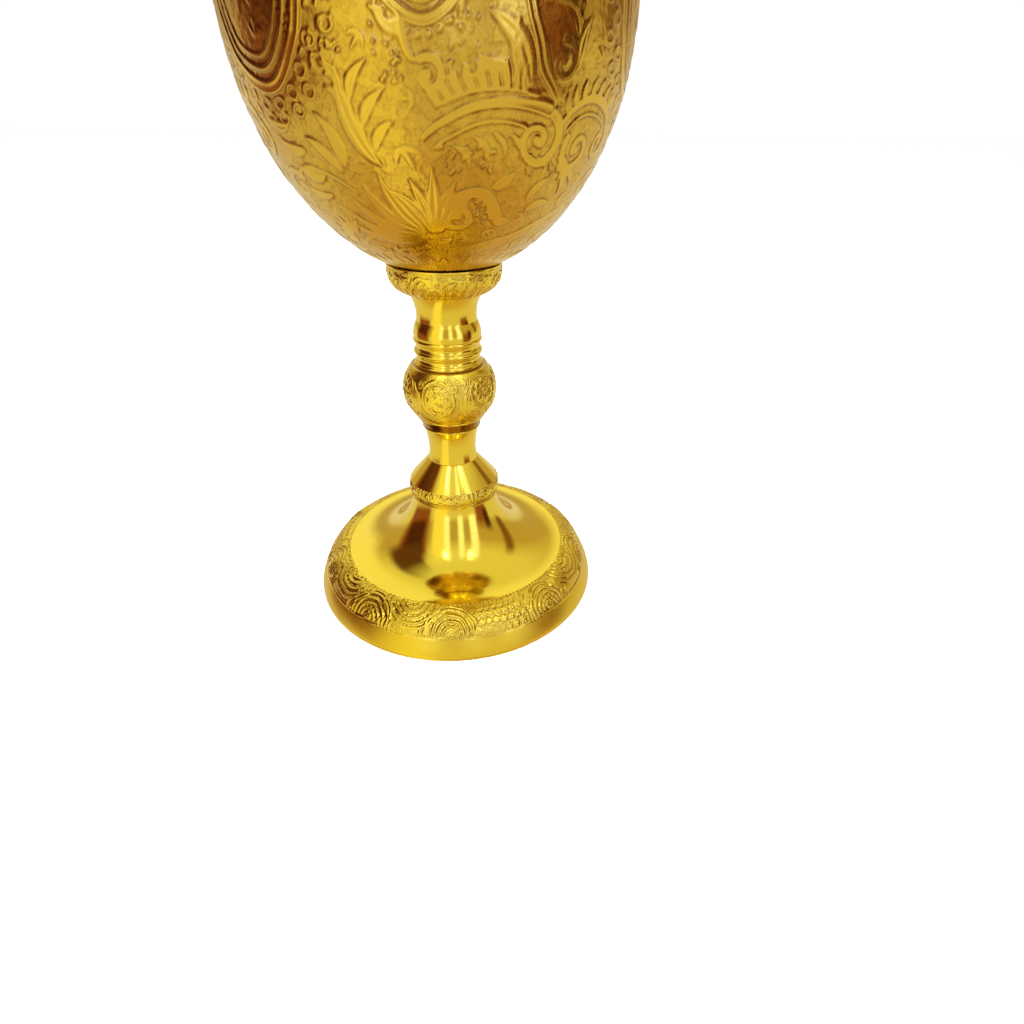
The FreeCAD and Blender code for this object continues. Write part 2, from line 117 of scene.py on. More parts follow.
def run_lengths(path):
    """The length along a path at each of its points."""
    return np.concatenate([[0], np.cumsum(np.hypot(*np.diff(path, axis=0).T))])


def places_at(path, along, lengths):
    """The points at these lengths along a path."""
    return np.column_stack([np.interp(lengths, along, path[:, k]) for k in (0, 1)])


def outline(start, steps, closed=True):
    """Points of an outline, their lengths along it, and their tags. Short curves round its corners."""
    if closed:
        steps = [*steps, line(*start)]
    corners = [start] + [step["to"] for step in steps]
    traces = [trace(corner, step) for corner, step in zip(corners, steps)]
    runs = [run_lengths(path) for path in traces]
    points, lengths, tags = [], [], []
    travelled = 0
    for index, (step, path, along) in enumerate(zip(steps, traces, runs)):
        total = along[-1]
        before = steps[index - 1]["corner"] if closed or index else 0
        after = step["corner"] if closed or index < len(steps) - 1 else 0
        before, after = (min(corner, total * CORNER_SHARE) for corner in (before, after))
        count = max(2, int(round((total - before - after) / step["step"])) + 1)
        places = np.linspace(before, total - after, count)
        if index and before == 0:
            places = places[1:]
        chosen = places_at(path, along, places)
        points.extend(chosen)
        lengths.extend(travelled + places)
        tags.extend([step["tag"]] * len(places))
        travelled += total
        if after == 0:
            continue
        following = (index + 1) % len(traces)
        leave = min(after, runs[following][-1] * CORNER_SHARE)
        end = places_at(traces[following], runs[following], [leave])[0]
        for t in (0.25, 0.5, 0.75):
            points.append((1 - t) ** 2 * chosen[-1] + 2 * t * (1 - t) * path[-1] + t**2 * end)
            lengths.append(travelled)
            tags.append("corner")
    return np.array(points), np.array(lengths), np.array(tags)


# Relief ----------------------------------


def ridge(t):
    """The section of a plain rounded stroke. t runs from 0 at its middle to 1 at its edge."""
    return 1 - t**2


def veined(t):
    """A leaf's section, with a sunk vein."""
    return 1 - t**4 - 0.5 * np.exp(-((t / 0.2) ** 2))


def double_line(t):
    """A flat band's section, with a raised line along each edge."""
    return 0.5 * (1 - t**6) + 0.5 * np.exp(-(((t - 0.66) / 0.2) ** 2)) * (1 - t**12)


def bezier(*controls, count=40):
    """Points along a Bezier curve through 3 or 4 control points."""
    t = np.linspace(0, 1, count)[:, None]
    degree = len(controls) - 1
    weights = [math.comb(degree, k) * t**k * (1 - t) ** (degree - k) for k in range(degree + 1)]
    return sum(w * np.array(c, float) for w, c in zip(weights, controls))


class Relief:
    """Heights in mm over one repeat of a turned band, with random numbers of its own."""

    def __init__(self, seed, y, radius, columns, repeats, ground, gain=1.0):
        self.rng = np.random.default_rng(seed)
        self.y = y
        self.repeats = repeats
        self.gain = gain
        self.metric = math.radians(1) * radius
        self.columns = columns
        self.step = 360 / repeats / columns
        self.ground = ground
        self.height = np.full((len(y), columns), float(ground))
        self.flip = None

    def at(self, x, y, dx, dy):
        """Places that lie dx and dy millimetres from a place on the band."""
        scale = np.interp(y, self.y, self.metric)
        return np.column_stack([x + np.asarray(dx) / scale, y + np.asarray(dy)])

    def window(self, points, margin):
        """The rows and columns that a motif can touch, with each cell's place and its row's scale."""
        (x0, y0), (x1, y1) = points.min(axis=0), points.max(axis=0)
        rows = np.nonzero((self.y > y0 - margin) & (self.y < y1 + margin))[0]
        if not rows.size:
            return None
        wide = margin / self.metric[rows].min()
        first, last = math.floor((x0 - wide) / self.step), math.ceil((x1 + wide) / self.step)
        columns = np.arange(first, min(last + 1, first + self.columns))
        cells = np.ix_(rows, columns % self.columns)
        return cells, columns[None, :] * self.step, self.y[rows][:, None], self.metric[rows][:, None]

    def lift(self, cells, raised):
        """Raises cells to that height over the ground, where they aren't higher already."""
        self.height[cells] = np.maximum(self.height[cells], self.ground + raised * self.gain)

    def stroke(self, points, widths, height, section=ridge):
        """A raised band along the points. widths are half widths in mm: one, or one for each point."""
        points = np.array(points, float)
        if self.flip is not None:
            points[:, 1] = 2 * self.flip - points[:, 1]
        widths = np.broadcast_to(np.asarray(widths, float), len(points))
        found = self.window(points, widths.max())
        if found is None:
            return
        cells, x, y, scale = found
        nearest = np.full((y.shape[0], x.shape[1]), 9.0)
        for here, there, w0, w1 in zip(points[:-1], points[1:], widths[:-1], widths[1:]):
            px, py = (x - here[0]) * scale, y - here[1]
            qx, qy = (there[0] - here[0]) * scale, there[1] - here[1]
            along = np.clip((px * qx + py * qy) / (qx**2 + qy**2 + 1e-9), 0, 1)
            distance = np.hypot(px - along * qx, py - along * qy)
            np.minimum(nearest, distance / (w0 + (w1 - w0) * along + 1e-6), out=nearest)
        self.lift(cells, height * section(np.minimum(nearest, 1)))

    def disc(self, x, y, radius):
        """The cells round a place, and how far each is from it as a share of the radius."""
        if self.flip is not None:
            y = 2 * self.flip - y
        found = self.window(np.array([[x, y]]), radius)
        if found is None:
            return None, None
        cells, cx, cy, scale = found
        return cells, np.minimum(np.hypot((cx - x) * scale, cy - y) / radius, 1)

    def bead(self, x, y, radius, height, dimple=0.0):
        """A round bead, with an optional dimple in its middle."""
        cells, t = self.disc(x, y, radius)
        if cells is not None:
            self.lift(cells, height * (np.sqrt(1 - t**2) - dimple * np.exp(-((t / 0.4) ** 2))) * (t < 1))

    def hole(self, x, y, radius, depth):
        """A small round sinking below the ground."""
        cells, t = self.disc(x, y, radius)
        if cells is not None:
            self.height[cells] -= depth * (1 - t**2) ** 2

    def volute(self, x, y, radius, first_angle, sweep, width, height):
        """A scroll's curled end: a spiral that thins towards a bead in its eye."""
        t = np.linspace(0, 1, 44)
        shrinking = radius + (radius * 0.22 - radius) * t
        angle = np.radians(first_angle + sweep * t)
        points = self.at(x, y, shrinking * np.cos(angle), shrinking * np.sin(angle))
        self.stroke(points, np.linspace(width, width * 0.5, len(t)), height, double_line)
        self.bead(x, y, radius * 0.24, height)

    def leaf(self, start, end, width, height, bend=0.0, section=veined):
        """A pointed leaf from start to end. bend is its sideways bow as a share of its length."""
        start, end = np.array(start, float), np.array(end, float)
        scale = np.interp((start[1] + end[1]) / 2, self.y, self.metric)
        reach_mm = (end - start) * (scale, 1)
        side = np.array([-reach_mm[1], reach_mm[0]]) * bend * 2 / (scale, 1)
        points = bezier(start, (start + end) / 2 + side, end, count=16)
        t = np.linspace(0, 1, len(points))
        self.stroke(points, 0.08 + width * np.sin(math.pi * t**0.8), height, section)

    def fan(self, x, y, inner, outer, first, last, count, width, height, bend=0.0):
        """Leaves that spread from a place like a shell."""
        for angle in np.radians(np.linspace(first, last, count)):
            radii = np.array([inner, outer])
            root, tip = self.at(x, y, radii * np.cos(angle), radii * np.sin(angle))
            self.leaf(root, tip, width, height, bend)

    def fringe(self, points, count, length, width, height, lean=0.0):
        """A row of short leaves on the left of a curve, which lean along it."""
        points = np.asarray(points, float)
        scale = np.interp(points[:, 1], self.y, self.metric)
        run = np.gradient(points[:, 0]) * scale, np.gradient(points[:, 1])
        size = np.hypot(*run) + 1e-9
        for place in np.linspace(1, len(points) - 2, count).astype(int):
            ux, uy = run[0][place] / size[place], run[1][place] / size[place]
            dx, dy = (-uy + lean * ux) * length, (ux + lean * uy) * length
            tip = self.at(*points[place], dx, dy)[0]
            self.leaf(points[place], tip, width, height, 0.1)

    def oval(self, x, y, across, along, width, height, section=ridge, first=0.0, last=360.0):
        """An oval ring about a place, or a part of one."""
        angle = np.radians(np.linspace(first, last, 72))
        points = self.at(x, y, across * np.cos(angle), along * np.sin(angle))
        self.stroke(points, width, height, section)

    def oval_beads(self, x, y, across, along, count, radius, height, first=0.0, last=360.0):
        """A string of beads along an oval."""
        angle = np.radians(np.linspace(first, last, count, endpoint=last - first < 360))
        for place in self.at(x, y, across * np.cos(angle), along * np.sin(angle)):
            self.bead(*place, radius, height)

    def flower(self, x, y, petals, radius, height):
        """A small round flower: petals about a bead."""
        angle = np.linspace(0, 2 * math.pi, petals, endpoint=False) + 0.4
        for place in self.at(x, y, radius * 0.62 * np.cos(angle), radius * 0.62 * np.sin(angle)):
            self.bead(*place, radius * 0.4, height * 0.85)
        self.bead(x, y, radius * 0.3, height)

    def scatter(self, x, y, count, radius, height):
        """Small beads strewn over a patch between the given degrees and heights."""
        for place in zip(self.rng.uniform(*x, count), self.rng.uniform(*y, count)):
            self.bead(*place, radius * self.rng.uniform(0.7, 1.3), height * self.rng.uniform(0.6, 1))

    def fill(self, tries, length, width, height):
        """Puts small sprigs of three leaves wherever the ground is still free."""
        for _ in range(tries):
            x = self.rng.uniform(0, 360)
            y = self.rng.uniform(self.y[0] + length, self.y[-1] - length)
            angle = self.rng.uniform(0, 2 * math.pi)
            cells, *_ = self.window(np.array([[x, y]]), length * 0.6)
            if self.height[cells].max() > self.ground + 0.02:
                continue
            root = self.at(x, y, -0.5 * length * math.cos(angle), -0.5 * length * math.sin(angle))[0]
            for turn, share in ((-0.75, 0.8), (0.0, 1.0), (0.75, 0.8)):
                ahead = angle + turn
                tip = self.at(*root, length * share * math.cos(ahead), length * share * math.sin(ahead))[0]
                self.leaf(root, tip, width, height, 0.12 * turn)

    def cloud(self, size):
        """Smooth random numbers, mostly from -1 to 1, that change over size mm and wrap round the band."""
        rows, columns = self.height.shape
        up = np.fft.fftfreq(rows, abs(np.diff(self.y).mean()))[:, None]
        across = np.fft.rfftfreq(columns, self.step * self.metric.mean())[None, :]
        spectrum = np.fft.rfft2(self.rng.normal(size=(rows, columns)))
        field = np.fft.irfft2(spectrum * np.exp(-4 * size**2 * (up**2 + across**2)), (rows, columns))
        return field / field.std() / 2

    def handwork(self, shift, size, wear):
        """Shifts the drawing unevenly by about shift mm, and wears it down in patches."""
        rows, columns = self.height.shape
        row_width, column_width = abs(np.diff(self.y).mean()), self.step * self.metric.mean()
        row = np.arange(rows)[:, None] + self.cloud(size) * shift / row_width
        column = np.arange(columns)[None, :] + self.cloud(size) * shift / column_width
        row = np.clip(row, 0, rows - 1.001)
        first_row, first_column = np.floor(row).astype(int), np.floor(column).astype(int)
        up, across = row - first_row, column - first_column
        corners = [self.height[first_row + a, (first_column + b) % columns] for a in (0, 1) for b in (0, 1)]
        lower = corners[0] * (1 - across) + corners[1] * across
        upper = corners[2] * (1 - across) + corners[3] * across
        self.height = lower * (1 - up) + upper * up
        self.height = self.ground + (self.height - self.ground) * (1 + wear * self.cloud(size * 2))

    def vermiculate(self, size, height):
        """Fills the ground with fine winding marks, as a matting punch leaves."""
        free = np.clip(1 - (self.height - self.ground) / 0.08, 0, 1)
        self.height += height * np.tanh(3 * self.cloud(size)) * free

    def stipple(self, depth, floor):
        """Punched ground: fine unevenness that is strongest where nothing is raised."""
        noise = self.rng.normal(size=self.height.shape)
        noise = (noise + np.roll(noise, 1, 0) + np.roll(noise, 1, 1) + np.roll(noise, (1, 1), (0, 1))) / 2
        free = np.clip(1 - (self.height - self.ground) / 0.12, floor, 1)
        self.height += noise * depth * free

    def soften(self):
        """Blends each cell with its neighbours, as casting and plating do."""
        for axis in (0, 1):
            before, after = np.roll(self.height, 1, axis), np.roll(self.height, -1, axis)
            if axis == 0:
                before[0], after[-1] = self.height[0], self.height[-1]
            self.height = (before + 2 * self.height + after) / 4

    def fade(self, low_band, high_band):
        """Brings the relief back to the plain wall over these widths at its two ends."""
        up = np.clip((self.y - self.y[0]) / low_band, 0, 1)
        down = np.clip((self.y[-1] - self.y) / high_band, 0, 1)
        share = np.minimum(up, down)
        self.height *= (share**2 * (3 - 2 * share))[:, None]

    def finish(self, handwork, grain, fade, marks=None):
        """Ages the finished drawing, fades it out at its two ends, and repeats it all round."""
        self.soften()
        self.handwork(*handwork)
        if marks:
            self.vermiculate(*marks)
        self.stipple(*grain)
        self.fade(*fade)
        return np.tile(self.height, self.repeats)


# Meshes ----------------------------------

SLOPE_SHADE = 0.7


def add_object(name, data):
    """A new object for that mesh, lamp or camera, in the scene."""
    thing = bpy.data.objects.new(name, data)
    bpy.context.scene.collection.objects.link(thing)
    return thing


def skin(name, rings, ends=False, part=None):
    """A closed skin over rings of points, in mm. ends closes it with a middle point at each end."""
    count, around = rings.shape[:2]
    index = np.arange(count * around).reshape(count, around)
    beside = np.roll(index, -1, axis=1)
    above = np.roll(index, -1, axis=0)
    above_beside = np.roll(above, -1, axis=1)
    rows = count - 1 if ends else count
    quads = np.stack([index, beside, above_beside, above], axis=-1)[:rows].reshape(-1, 4)
    points = rings.reshape(-1, 3)
    lengths = np.linalg.norm(np.diff(rings[:, 0], axis=0, append=rings[:1, 0]), axis=1)
    v = np.concatenate([[0], np.cumsum(lengths)])
    v = v / v[-1]
    u = np.arange(around + 1) / around
    row, column = np.divmod(np.arange(rows * around), around)
    corners_u = np.stack([u[column], u[column + 1], u[column + 1], u[column]], axis=-1)
    corners_v = np.stack([v[row], v[row], v[row + 1], v[row + 1]], axis=-1)
    loops = quads.reshape(-1)
    starts = np.arange(len(quads)) * 4
    uv = np.stack([corners_u, corners_v], axis=-1).reshape(-1, 2)
    if ends:
        first, last = len(points), len(points) + 1
        points = np.vstack([points, rings[0].mean(axis=0), rings[-1].mean(axis=0)])
        lower = np.stack([np.full(around, first), beside[0], index[0]], axis=-1)
        upper = np.stack([np.full(around, last), index[-1], beside[-1]], axis=-1)
        starts = np.concatenate([starts, len(loops) + np.arange(2 * around) * 3])
        loops = np.concatenate([loops, lower.reshape(-1), upper.reshape(-1)])
        fan_uv = np.repeat(np.stack([u[:-1], np.full(around, v[0])], axis=-1), 3, axis=0)
        uv = np.vstack([uv, fan_uv, fan_uv])
    mesh = bpy.data.meshes.new(name)
    mesh.vertices.add(len(points))
    mesh.vertices.foreach_set("co", (points * MM).ravel())
    mesh.loops.add(len(loops))
    mesh.loops.foreach_set("vertex_index", loops.astype(np.int32))
    mesh.polygons.add(len(starts))
    mesh.polygons.foreach_set("loop_start", starts.astype(np.int32))
    layer = mesh.uv_layers.new(name="OFBake")
    layer.data.foreach_set("uv", uv.astype(np.float32).ravel())
    mesh.polygons.foreach_set("use_smooth", np.ones(len(starts), bool))
    if part is not None:
        slots = np.repeat(part[:rows], around)
        slots = np.pad(slots, (0, len(starts) - len(slots)))
        mesh.polygons.foreach_set("material_index", slots.astype(np.int32))
    mesh.update(calc_edges=True)
    mesh.validate()
    return add_object(name, mesh)


def turned(node, start, steps, z, around, finishes, relief=None, closed=True):
    """Turns an outline, raised by z, into the piece that stands for a CAD node.

    finishes maps an outline's tags to materials, and "" is the finish of the rest. relief maps a tag to a
    function that draws the heights over that stretch.
    """
    points, lengths, tags = outline(start, steps, closed)
    around_angles = np.linspace(0, 2 * math.pi, around, endpoint=False)
    run = np.gradient(points, axis=0)
    if closed:
        run = (np.roll(points, -1, axis=0) - np.roll(points, 1, axis=0)) / 2
    normal = np.column_stack([run[:, 1], -run[:, 0]]) / (np.hypot(*run.T)[:, None] + 1e-9)
    lift = np.zeros((len(points), around))
    relief_shading = np.ones((len(points), around))
    for tag, draw in (relief or {}).items():
        chosen = np.nonzero(tags == tag)[0]
        heights = np.asarray(draw(lengths[chosen], points[chosen, 0]))
        lift[chosen] = heights
        # Painted shade: a share for each point that is low in the relief's hollows and on its slopes, where
        # the materials darken it.
        lowest, highest = np.percentile(heights, (3, 97))
        slope = np.hypot(*np.gradient(heights))
        raised = (heights - lowest) / (highest - lowest)
        relief_shading[chosen] = 0.5 + 0.5 * raised - SLOPE_SHADE * slope / np.percentile(slope, 97)
    r = points[:, :1] + lift * normal[:, :1]
    height = points[:, 1:] + lift * normal[:, 1:] + z
    rings = np.stack([r * np.cos(around_angles), r * np.sin(around_angles), height], axis=-1)
    names = list(finishes)
    part = np.array([names.index(tag) if tag in names else 0 for tag in tags])
    piece = skin(f"visual_{node}", rings, not closed, part)
    ends = [1, 1] if not closed else []
    # Stores that painted shade share on the mesh for the materials to read.
    layer = piece.data.attributes.new("relief_shading", "FLOAT", "POINT")
    layer.data.foreach_set("value", np.concatenate([relief_shading.ravel(), ends]).astype(np.float32))
    for material in finishes.values():
        piece.data.materials.append(material)
    stand_for(piece, node)


def stand_for(piece, node):
    """The piece rides with the chalice, and stands for that CAD node, which is hidden."""
    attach(piece, "root")
    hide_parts(node)


# Materials -------------------------------


class Graph:
    """Short calls for building a node tree. Inputs are numbers, tuples or other nodes' outputs."""

    def __init__(self, tree):
        self.tree = tree
        tree.nodes.clear()

    def node(self, kind, inputs=(), **settings):
        """A new shader node of that kind with these inputs, and these settings as its own attributes."""
        node = self.tree.nodes.new("ShaderNode" + kind)
        for name, value in settings.items():
            setattr(node, name, value)
        for name, value in dict(inputs).items():
            socket = node.inputs[name]
            if isinstance(value, bpy.types.NodeSocket):
                self.tree.links.new(value, socket)
            else:
                socket.default_value = value
        return node

    def math(self, operation, a, b=0.0):
        """The result of one sum, such as ADD or ARCTAN2."""
        return self.node("Math", {0: a, 1: b}, operation=operation).outputs[0]

    def times(self, a, b):
        """The product of two values."""
        return self.math("MULTIPLY", a, b)

    def place(self, x=1, y=1, z=1):
        """Object coordinates, scaled along each axis."""
        coordinates = self.node("TexCoord").outputs["Object"]
        return self.node("Mapping", {"Vector": coordinates, "Scale": (x, y, z)}).outputs["Vector"]

    def noise(self, vector, scale, detail=3.0, rough=0.5):
        """Cloudy noise, from 0 to 1."""
        inputs = {"Vector": vector, "Scale": scale, "Detail": detail, "Roughness": rough}
        return self.node("TexNoise", inputs).outputs["Fac"]

    def spread(self, value, low_in, high_in, low_out=0.0, high_out=1.0):
        """The value, moved from the range of its inputs to the range of its outputs and held in it."""
        inputs = {"Value": value, "From Min": low_in, "From Max": high_in}
        limits = {"To Min": low_out, "To Max": high_out}
        return self.node("MapRange", {**inputs, **limits}).outputs["Result"]

    def mix(self, factor, a, b):
        """A colour between a and b."""
        a, b = ((*c, 1.0) if isinstance(c, tuple) else c for c in (a, b))
        settings = {"data_type": "RGBA", "blend_type": "MIX"}
        return self.node("Mix", {0: factor, 6: a, 7: b}, **settings).outputs[2]

    def bump(self, height, strength, distance, normal=None):
        """A normal that shows fine heights, on top of another normal if one is given."""
        inputs = {"Height": height, "Strength": strength, "Distance": distance}
        if normal is not None:
            inputs["Normal"] = normal
        return self.node("Bump", inputs).outputs["Normal"]

    def close(self, kind, shader):
        """Ends the tree in an output node of that kind."""
        output = self.node("Output" + kind)
        self.tree.links.new(shader.outputs[0], output.inputs[0])


def new_material(name):
    """A new material, and the graph of its empty node tree."""
    material = bpy.data.materials.new(name)
    material.use_nodes = True
    return material, Graph(material.node_tree)


def around_and_up(graph, round_scale, up_scale):
    """A vector for marks that run round the axis: close together up the axis, and long around it."""
    place = graph.node("TexCoord").outputs["Object"]
    split = graph.node("SeparateXYZ", {"Vector": place})
    x, y, z = split.outputs
    radius = graph.math("SQRT", graph.math("ADD", graph.times(x, x), graph.times(y, y)))
    angle = graph.math("ARCTAN2", y, x)
    parts = {
        "X": graph.times(graph.math("COSINE", angle), round_scale),
        "Y": graph.times(graph.math("SINE", angle), round_scale),
        "Z": graph.times(graph.math("ADD", z, graph.times(radius, 0.7)), up_scale),
    }
    return graph.node("CombineXYZ", parts).outputs["Vector"]


def metal(name, colour, deep, rough, rough_span, turning=0.0, cavity_shade=0.0, cavity_shade_colour=None, specks=0.0,
          grain=0.0, mottle=0.25):
    """A worn metal: uneven colour and roughness, turning marks, dark specks, and painted shade in the
    relief's hollows and on its slopes.
    """
    material, graph = new_material(name)
    wide = graph.noise(graph.place(), 38, 4)
    fine = graph.noise(graph.place(), 420, 5, 0.6)
    shade = graph.mix(graph.spread(wide, 0.35, 0.7, 0, mottle), colour, deep)
    shade = graph.mix(graph.spread(fine, 0.45, 0.8, 0, 0.25), shade, deep)
    # Painted shade: darkens the relief's hollows and slopes towards the shade colour.
    if cavity_shade:
        relief_shading = graph.node("Attribute", attribute_name="relief_shading").outputs["Fac"]
        hollow = graph.spread(relief_shading, 0.6, 0.02, 0, cavity_shade)
        shade = graph.mix(hollow, shade, cavity_shade_colour)
    if specks:
        dots = graph.node("TexVoronoi", {"Vector": graph.place(), "Scale": 210.0})
        near = graph.spread(dots.outputs["Distance"], 0.1, 0.04, 0, 1)
        rare = graph.spread(graph.noise(graph.place(), 90, 1), 0.6, 0.66, 0, specks)
        shade = graph.mix(graph.times(near, rare), shade, (0.06, 0.035, 0.01))
    smear = graph.noise(around_and_up(graph, 6, 2600), 1.0, 3, 0.65)
    cloud = graph.noise(graph.place(), 75, 4, 0.6)
    blend = graph.math("ADD", graph.times(cloud, 0.6), graph.times(smear, 0.4))
    roughness = graph.spread(blend, 0.35, 0.65, rough - rough_span, rough + rough_span)
    normal = graph.bump(graph.noise(graph.place(), 160, 3), 0.05 + mottle * 0.1, 0.0003)
    if turning:
        normal = graph.bump(smear, turning, 0.00005, normal)
    if grain:
        normal = graph.bump(graph.noise(graph.place(), 2600, 3, 0.7), grain, 0.0001, normal)
    inputs = {"Base Color": shade, "Metallic": 1.0, "Roughness": roughness, "Normal": normal}
    shader = graph.node("BsdfPrincipled", inputs)
    graph.close("Material", shader)
    return material


def fibre(name):
    """Red vulcanised fibre: matt, with short flecks."""
    material, graph = new_material(name)
    flecks = graph.noise(graph.place(z=6), 900, 4, 0.7)
    shade = graph.mix(graph.spread(flecks, 0.4, 0.65), (0.3, 0.07, 0.03), (0.13, 0.03, 0.02))
    normal = graph.bump(flecks, 0.3, 0.0001)
    roughness = graph.spread(flecks, 0.3, 0.7, 0.6, 0.85)
    inputs = {"Base Color": shade, "Roughness": roughness, "Normal": normal}
    shader = graph.node("BsdfPrincipled", inputs)
    graph.close("Material", shader)
    return material


GOLD = (0.87, 0.65, 0.065)
DEEP_GOLD = (0.82, 0.53, 0.04)
# The colour of the painted shade in the chased relief's hollows and on its slopes.
CAVITY_SHADE_BROWN = (0.42, 0.22, 0.025)

POLISHED = metal("polished_gilt", GOLD, DEEP_GOLD, 0.11, 0.04, turning=0.12, specks=0.9, mottle=0.3)
SATIN = metal("satin_gilt", (0.82, 0.57, 0.035), DEEP_GOLD, 0.34, 0.07, turning=0.5, specks=0.6)
# CHASED and EMBOSSED darken the relief's hollows and slopes as painted shade.
CHASED = metal("chased_gilt", GOLD, DEEP_GOLD, 0.2, 0.06, cavity_shade=0.75, cavity_shade_colour=CAVITY_SHADE_BROWN, grain=0.12)
EMBOSSED = metal("embossed_gilt", (0.76, 0.5, 0.06), (0.6, 0.36, 0.04), 0.2, 0.06, cavity_shade=0.9,
                 cavity_shade_colour=(0.34, 0.17, 0.03), grain=0.12)
INSIDE = metal("inside_gilt", (0.88, 0.62, 0.11), DEEP_GOLD, 0.17, 0.05, turning=0.25, specks=0.5)
# A dark gilt for the knop base ring's bevel: painted shade under the knop.
PAINTED_SHADE_GILT = metal("painted_shade_gilt", (0.4, 0.2, 0.03), (0.24, 0.11, 0.02), 0.15, 0.05, turning=0.2,
                  mottle=0.4)
BRASS = metal("plain_brass", (0.68, 0.48, 0.16), (0.42, 0.26, 0.08), 0.36, 0.08, turning=0.7, specks=0.8,
              mottle=0.8)
ZINC = metal("zinc_steel", (0.6, 0.61, 0.62), (0.42, 0.41, 0.38), 0.33, 0.08, grain=0.2, mottle=0.5)
SPRING = metal("spring_steel", (0.16, 0.16, 0.17), (0.07, 0.065, 0.06), 0.38, 0.08, grain=0.2, mottle=0.6)
FIBRE = fibre("fibre")

# Sizes and steps that pieces share -------

WALL, CAST_WALL, SEAT_WALL = 1.2, 1.6, 1.5
ROD = 2.5
BORE = ROD + 0.1
PLAY = 0.05
SPIGOT, KNOP_SPIGOT_DEPTH = 1.5, 1.0
HUB_SPIGOT, SMALL_SPIGOT, KNOP_SPIGOT = 8.0, 4.5, 5.5
SLEEVE_HOLE = 4.7


def into_bore(radius, z, end, step=1.2):
    """Steps in along a flat at z, along a spigot or socket as far as end, and in to the bore."""
    return [line(radius, z, step), line(radius, end, step), line(BORE, end, step)]


def out_of_bore(radius, start, z, step=1.2, bore_step=1.2):
    """Steps along the bore to start, out to a spigot or socket, and along it to a flat at z."""
    return [line(BORE, start, bore_step), line(radius, start, step), line(radius, z, step)]


def plain_ring(node, inner, sides, around):
    """A flat brass ring. sides has the step and corner of its outside, its top and its bore."""
    outer, bottom, top = reach(node), low(node), high(node)
    ends = ((outer, top), (inner, top), (inner, bottom))
    steps = [line(*end, *side) for end, side in zip(ends, sides)]
    turned(node, (outer, bottom), steps, 0, around, {"": BRASS})


# Foot ------------------------------------

FOOT_SEED, BOWL_SEED, BELL_SEED, KNOP_SEED, CALYX_SEED = 11, 12, 13, 14, 15


def border_relief(y, radius):
    """The foot's border: shells that open up and down by turns, fluted fringes, and small flowers."""
    band = Relief(FOOT_SEED, y, radius, 500, 3, -0.14, 0.75)
    bottom, top = y[0], y[-1]
    for x in (-148, -112):
        for size in (2.3, 3.7, 5.1, 6.5, 7.8):
            band.oval(x, top + 0.2, size, size * 0.98, 0.36, 0.3, ridge, 180, 360)
        band.oval_beads(x, top + 0.2, 4.4, 4.3, 9, 0.28, 0.22, 195, 345)
        band.fan(x, top + 0.2, 0.6, 2.1, 200, 340, 5, 0.35, 0.26)
    for x in (-130, -94, -50):
        for size in (2.2, 3.5, 4.9, 6.3):
            band.oval(x, bottom + 1.3, size, size * 1.05, 0.36, 0.32, ridge, 0, 180)
        band.oval(x, bottom + 1.3, 7.1, 7.6, 0.3, 0.34, ridge, 20, 160)
        band.oval_beads(x, bottom + 1.3, 2.9, 2.9, 7, 0.27, 0.24, 15, 165)
        band.flower(x, bottom + 2.0, 5, 1.2, 0.28)
    for first, last in ((-142, -137), (-124, -119), (-106, -101), (-62, -57), (-43, -37)):
        for x in np.arange(first, last + 0.1, 1.6):
            band.leaf((x, bottom + 0.4), (x + 0.5, bottom + 3.2), 0.34, 0.33, 0.1, ridge)
    for x in np.arange(-83, -62, 3.1):
        for row, y_cell in enumerate((bottom + 1.6, bottom + 3.9, bottom + 6.2, bottom + 8.4)):
            band.flower(x + 1.5 * (row % 2), y_cell, 5, 1.0, 0.27)
    for x in (-139, -121, -103, -58, -42):
        band.volute(x, bottom + 6.3, 1.3, 200, -400, 0.4, 0.32)
        band.scatter((x - 3, x + 3), (bottom + 4, top - 0.8), 12, 0.28, 0.22)
    band.fill(900, 1.5, 0.28, 0.24)
    band.stroke([(-170, bottom + 0.25), (-110, bottom + 0.25), (-50, bottom + 0.25)], 0.26, 0.24)
    for x in np.arange(-150, -30, 2.0):
        band.bead(x, top - 0.3, 0.42, 0.24)
    return band.finish((0.22, 2.2, 0.5), (0.022, 0.5), (0.18, 0.18))


